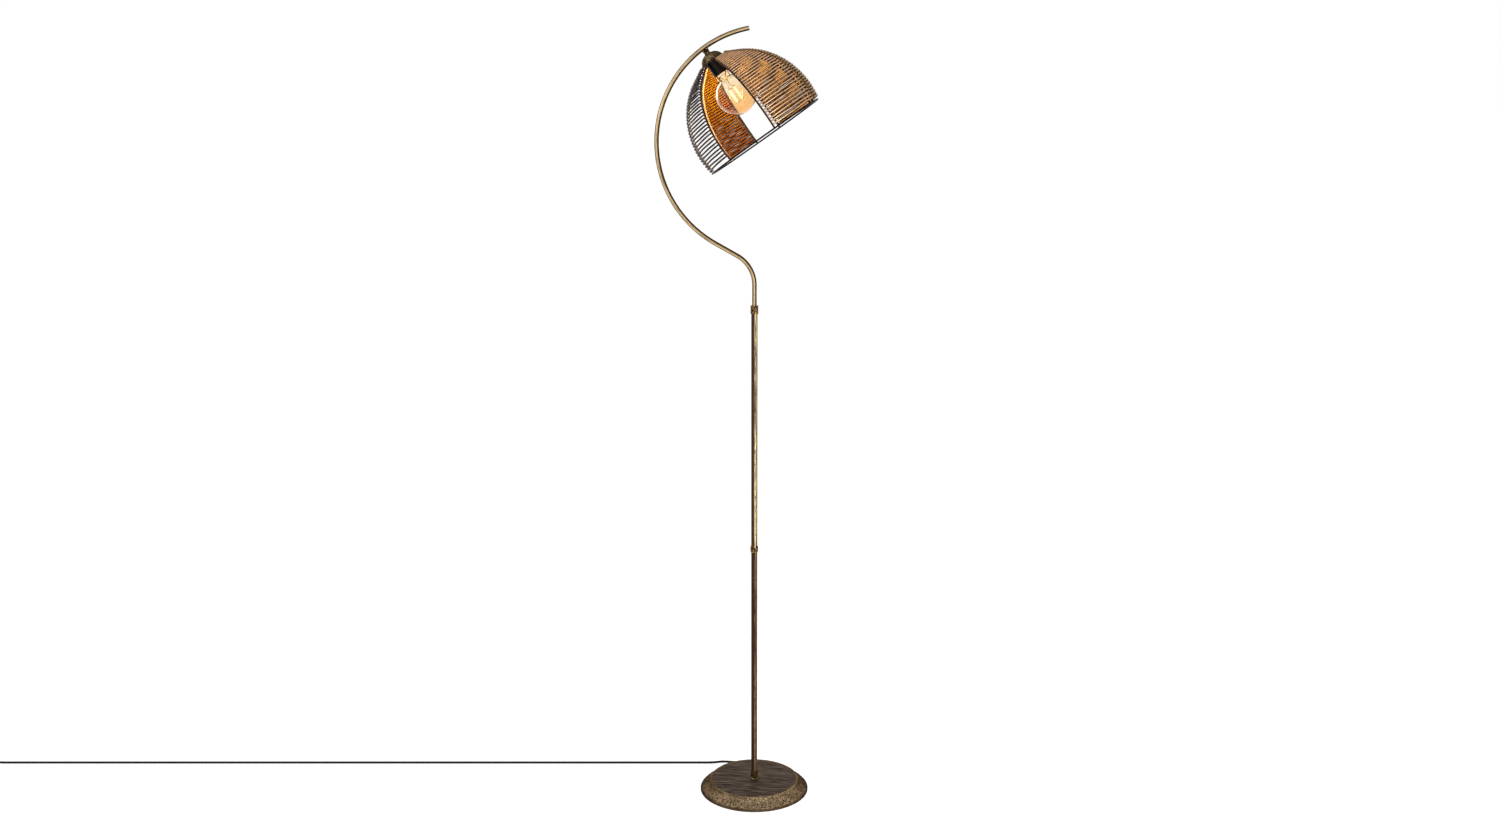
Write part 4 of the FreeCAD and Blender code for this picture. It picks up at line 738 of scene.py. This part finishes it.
rim_lacquer = patinated("gunmetal_lacquer_on_wire", "232021", "0d0b0c",
                        stroke_mm=(1.2, 1.2, 30.0), speck_mm=(1.0, 1.0, 3.0), cover=0.5,
                        rough=(0.3, 0.44), metal=(0.1, 0.4), swept=True,
                        Specular_Tint=(0.25, 0.25, 0.25, 1.0))
plate_lacquer = mottled("dark_bronze_lacquer_on_plate", "33271f", "1a1310",
                        size_mm=(3.0, 3.0, 3.0), rough=(0.4, 0.52), bump_mm=0.05, Metallic=0.4)
give(plate_lacquer, "shade_top_plate")
# Painted light: the outer rib of each left panel gets its own pale lacquer.
for side, ribs, outer, outer_rib_painted_light in (
        ("right", front_right_ribs + back_right_ribs[1:], None, None),
        ("back_left", back_left_ribs, 1, painted_glow_rib),
        ("front_left", front_left_ribs, 0, painted_highlight_rib)):
    piece = sweep("shade_ribs_" + side, [rib_stations(azimuth) for azimuth in ribs], sides=16)
    piece.data.materials.append(rib_lacquer)
    if outer_rib_painted_light:
        piece.data.materials.append(outer_rib_painted_light)
        per_rib = len(piece.data.polygons) // len(ribs)
        for face in piece.data.polygons[outer * per_rib:(outer + 1) * per_rib]:
            face.material_index = 1
    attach(piece, "head")
    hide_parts("ribs_" + side)

rim_line = outline_point(0.0, wire_seat)[0] + rim_radius
rim_stations = []
rim_steps = 144
for i in range(rim_steps):
    a = 2 * math.pi * i / rim_steps
    out = Vector((math.sin(a), -math.cos(a), 0))
    centre = shade_pose @ (out * rim_line - Vector((0, 0, rim_from_arm)))
    heading = turned_by_shade(Vector((math.cos(a), math.sin(a), 0)))
    rim_stations.append((centre, heading, turned_by_shade(out), rim_radius))
rim = sweep("shade_rim", [rim_stations], sides=18, closed=True)
rim.data.materials.append(rim_lacquer)
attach(rim, "head")
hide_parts("rim_wire")

# Shade: wires and weld spots
# Each panel is a row of steel wires, cut by hand to end on the outer ribs and resistance
# welded to every rib, so none lies quite straight or level. They are sprayed in lacquer and
# wiped with dark patina.
random.seed(7)
first_wire = 0.0072
front_pitch = 0.0066
back_pitch = 0.0059
back_wire_radius = 0.0026
lacquered_wire_radius = 0.00285
top_wire_line = 0.0315  # no wire where the outline is narrower than this
wire_short = 0.0003
hand_bend = 0.15  # in gaps between two wires
spot_inset = 0.012  # in lengths of a wire
spot_size = (0.0019, 0.0019, 0.0012)
waver_size = 0.00022
thickness_change = 0.03  # in wire radii
nip_length = 0.0005


def wire_heights(pitch):
    """Heights of the wires, evenly spaced along the outline."""
    heights = []
    height = 0.0
    fine_step = 0.0001
    to_next = first_wire
    while outline_point(height, 0.0)[0] > top_wire_line or height < shade_widest:
        height += fine_step / math.hypot(1.0, outline_point(height, 0.0)[2])
        to_next -= fine_step
        if to_next <= 0:
            heights.append(height)
            to_next += pitch
    return heights


def wire_line(k, height, ribs, radius, pitch, climb):
    """The arc of one wire and the azimuths of its ends. Climb is its slant in degrees."""
    inset = wire_seat - radius
    level, _, slope = outline_point(height, inset)
    short = math.degrees(wire_short / level)
    start = ribs[0] + short
    end = ribs[-1] - short
    rise = level * math.radians(end - start) / 2 * math.tan(math.radians(climb))
    uneven = hand_bend * (pitch - 2 * radius)
    norm = math.hypot(1.0, slope)
    # Two unequal waves, so that the slant never repeats from wire to wire.
    first = height + (uneven * math.sin(2.3 * k) - rise) / norm
    last = height + (uneven * math.sin(3.0 * k + 1.9) + rise) / norm
    arc = arc_through(shade_point(start, first, inset),
                      shade_point((start + end) / 2, height, inset),
                      shade_point(end, last, inset))
    return arc, start, end


def wire_stations(arc, length, radius):
    """Hand-cut wire: a slight waver, uneven thickness and nipped ends."""
    station_gap = 0.006
    count = max(10, int(length / station_gap))
    up = turned_by_shade(Vector((0, 0, 1)))
    swing = random.uniform(0, 2 * math.pi)
    waves = random.uniform(1.2, 2.6)
    stations = []
    for i in range(count + 1):
        share = i / count
        place, heading = arc(share)
        waver = math.sin(swing + 2 * math.pi * waves * share) * waver_size
        side = (up - heading * up.dot(heading)).normalized()
        thickness = radius * (1 + thickness_change * math.sin(swing * 3 + 17 * share))
        stations.append((place + side * waver, heading, side, thickness))
    for end, inner, way in ((0, 0, 1), (len(stations), -1, -1)):
        place, heading, side, _ = stations[inner]
        blunt = (place, heading, side, radius * random.uniform(0.45, 0.7))
        stations[inner] = (place + heading * nip_length * way, heading, side, radius * 0.97)
        stations.insert(end, blunt)
    return stations


def panel(side, ribs, radius, drawn_radius, pitch, climb, finish):
    """Wires of one panel, drawn with their lacquer, and their weld spots on the ribs."""
    tubes = []
    spots = bmesh.new()
    for k, height in enumerate(wire_heights(pitch)):
        arc, start, end = wire_line(k, height, ribs, radius, pitch, climb)
        level = outline_point(height, 0.0)[0]
        tubes.append(wire_stations(arc, level * math.radians(end - start), drawn_radius))
        for azimuth in ribs:
            share = min(max((azimuth - start) / (end - start), spot_inset), 1 - spot_inset)
            place, heading = arc(share)
            inwards = shade_point(azimuth, height, wire_seat) - shade_point(azimuth, height, 0.0)
            inwards.normalize()
            upright = heading.cross(inwards).normalized()
            turn = Matrix((heading, upright, inwards)).transposed().to_4x4()
            size = Matrix.Diagonal((*spot_size, 1.0)) * random.uniform(0.85, 1.1)
            size[3][3] = 1.0
            middle = Matrix.Translation(place + inwards * (radius + weld_gap / 2))
            bmesh.ops.create_icosphere(spots, subdivisions=2, radius=1.0,
                                       matrix=middle @ turn @ size)
    wires = sweep("shade_wires_" + side, tubes, sides=14)
    wires.data.materials.append(finish)
    mesh = bpy.data.meshes.new("weld_spots_" + side)
    spots.to_mesh(mesh)
    spots.free()
    mesh.shade_smooth()
    welds = bpy.data.objects.new("weld_spots_" + side, mesh)
    bpy.context.scene.collection.objects.link(welds)
    welds.data.materials.append(weld_lacquer)
    for piece in (wires, welds):
        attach(piece, "head")
    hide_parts("wires_" + side)


# All panels carry one copper lacquer, drawn as lit and shaded copies: the front right panel copper
# and the back right one browner, both paler towards the rim, the back left one a painted amber
# glow of the bulb that turns brown there, and the front left one nearly black, painted shade.
# Painted shade darkens the gaps between the wires, and patina lies in fine strokes along them.
weld_lacquer = mottled("lacquered_weld_spot", "5b4334", "33251d", size_mm=(1.5, 1.5, 1.5),
                       rough=(0.4, 0.55), bump_mm=0.1, Metallic=0.5)
copper_right = patinated("copper_lacquer_with_painted_shade_on_right_wires", "e4b488", "38220f",
                         stroke_mm=(1.6, 1.6, 90.0), speck_mm=(1.2, 1.2, 9.0), cover=0.2,
                         rough=(0.3, 0.46), metal=(0.2, 0.5), swept=True, painted_light_stripe=0.00135,
                         towards_rim="ffdcb4")
painted_glow_back_left = patinated("copper_lacquer_with_painted_bulb_glow_on_back_left_wires", "ac750a", "331705",
                       stroke_mm=(1.6, 1.6, 70.0), speck_mm=(1.2, 1.2, 9.0), cover=0.22,
                       rough=(0.36, 0.5), metal=(0.0, 0.2), swept=True, painted_light_stripe=0.0019,
                       towards_rim="8a4d10")
painted_light_back_right = patinated("copper_lacquer_with_painted_light_on_back_right_wires", "c08e44", "2a170a",
                       stroke_mm=(1.6, 1.6, 70.0), speck_mm=(1.2, 1.2, 9.0), cover=0.3,
                       rough=(0.36, 0.5), metal=(0.1, 0.4), swept=True, painted_light_stripe=0.0019,
                       towards_rim="d4a468")
painted_shade_front_left = patinated("copper_lacquer_in_painted_shade_on_front_left_wires", "54403a", "150d0b",
                       stroke_mm=(1.6, 1.6, 60.0), speck_mm=(1.2, 1.2, 9.0), cover=0.5,
                       rough=(0.32, 0.5), metal=(0.0, 0.3), swept=True, painted_light_stripe=0.00155)
left_climb = 2.2
panel("front_right", front_right_ribs, wire_radius, wire_radius, front_pitch, 0.0,
      copper_right)
panel("back_right", back_right_ribs, back_wire_radius, lacquered_wire_radius, back_pitch, 0.0,
      painted_light_back_right)
panel("back_left", back_left_ribs, back_wire_radius, lacquered_wire_radius, back_pitch,
      left_climb, painted_glow_back_left)
panel("front_left", front_left_ribs, wire_radius, wire_radius, front_pitch, left_climb,
      painted_shade_front_left)

# In-line switch, tie and plug
# The switch is two black ABS shells held by steel screws, with a rocker on a moulded pin.
# The plug is moulded on the lead in black PVC and has two nickel plated pins. A soft band
# ties the coil.

# The shells are matt from a spark eroded mould, whose grain is drawn coarser than it is.
# The rocker is polished and the rubber dull.
abs_shell = mottled("spark_eroded_black_abs", "1f1e1d", "141313", size_mm=(0.8, 0.8, 0.8),
                    rough=(0.5, 0.62), bump_mm=0.08)
abs_rocker = mottled("polished_black_abs", "171615", "100f0f", size_mm=(3.0, 3.0, 3.0),
                     rough=(0.2, 0.3), bump_mm=0.01)
steel_screw = mottled("zinc_plated_screw", "a9abad", "85878a", size_mm=(1.0, 1.0, 1.0),
                      rough=(0.3, 0.4), bump_mm=0.03, Metallic=1.0)
soft_band = mottled("soft_black_rubber_band", "201f1e", "161515", size_mm=(1.5, 1.5, 1.5),
                    rough=(0.6, 0.75), bump_mm=0.1)
give(abs_shell, "switch_base", "switch_cover")
give(abs_rocker, "switch_rocker")
give(steel_screw, "switch_screws")
give(soft_band, "coil_tie")
give(moulded_pvc, "plug_body")
give(nickel, "plug_pins")

# Floor
# Plain pale studio floor. It shows white to the camera and in reflections, as the backdrop
# does, and still takes the lamp's soft shadow.
floor_mesh = bpy.data.meshes.new("studio_floor")
reach = 60.0
floor_level = -0.0003  # just under the felt
floor_mesh.from_pydata([(-reach, -reach, floor_level), (reach, -reach, floor_level),
                        (reach, reach, floor_level), (-reach, reach, floor_level)],
                       [], [(0, 1, 2, 3)])
floor = bpy.data.objects.new("studio_floor", floor_mesh)
bpy.context.scene.collection.objects.link(floor)
# Matt wall paint with the faintest change of tone.
pale_floor, tree, shader = material("white_painted_floor", Roughness=0.9, Specular_IOR_Level=0.1)
dust = brushed(tree, grain_at(tree, (400.0, 400.0, 400.0)), detail=3.0)
paint = blended(tree, ramped(tree, dust, 0.3, 0.7), colour("f2f1ef"), colour("f6f5f3"))
tree.links.new(paint, shader.inputs["Base Color"])


def seen_directly(tree):
    """1 for camera, mirrored and transmitted rays, 0 for the light itself."""
    path = add(tree, "LightPath").outputs
    either = times(tree, path["Is Camera Ray"], path["Is Glossy Ray"], "MAXIMUM")
    return times(tree, either, path["Is Transmission Ray"], "MAXIMUM")


backdrop_lift = 0.72
lift = add(tree, "Math", {0: seen_directly(tree), 1: backdrop_lift},
           operation="MULTIPLY").outputs[0]
white = add(tree, "Emission", {"Color": colour("ffffff"), "Strength": lift}).outputs[0]
sum_shader = add(tree, "AddShader", {0: shader.outputs[0], 1: white})
tree.links.new(sum_shader.outputs[0], tree.nodes["Material Output"].inputs["Surface"])
floor.data.materials.append(pale_floor)

# Light
# Even white surroundings, a tall soft box in front on the right, which draws the bright line
# down the tubes, a weaker one on the left, and one behind on the left, which edges the glass.
world = bpy.data.worlds.new("white_studio")
bpy.context.scene.world = world
world.use_nodes = True
tree = world.node_tree
surround = tree.nodes["Background"]
surround.inputs["Color"].default_value = colour("ffffff")
lighting_strength = 0.34
backdrop_strength = 1.0
strength = add(tree, "MapRange", {"Value": seen_directly(tree), "To Min": lighting_strength,
                                  "To Max": backdrop_strength})
tree.links.new(strength.outputs[0], surround.inputs["Strength"])


def soft_box(name, place, target, width, height, power):
    """Rectangular soft light turned to a point on the lamp."""
    data = bpy.data.lights.new(name, "AREA")
    data.shape = "RECTANGLE"
    data.size = width
    data.size_y = height
    data.energy = power
    box = bpy.data.objects.new(name, data)
    box.location = place
    box.rotation_euler = (Vector(target) - Vector(place)).to_track_quat("-Z", "Y").to_euler()
    box.visible_camera = False
    bpy.context.scene.collection.objects.link(box)


soft_box("right_soft_box", (1.9, -2.3, 1.5), (0, 0, 0.85), width=0.6, height=2.4, power=52.0)
soft_box("left_soft_box", (-2.6, -1.8, 2.2), (0, 0, 1.0), width=1.6, height=1.6, power=12.0)
soft_box("rear_soft_box", (-2.0, 1.5, 1.9), (0, 0, 1.3), width=1.2, height=2.0, power=22.0)

bpy.context.scene.view_settings.view_transform = "Standard"
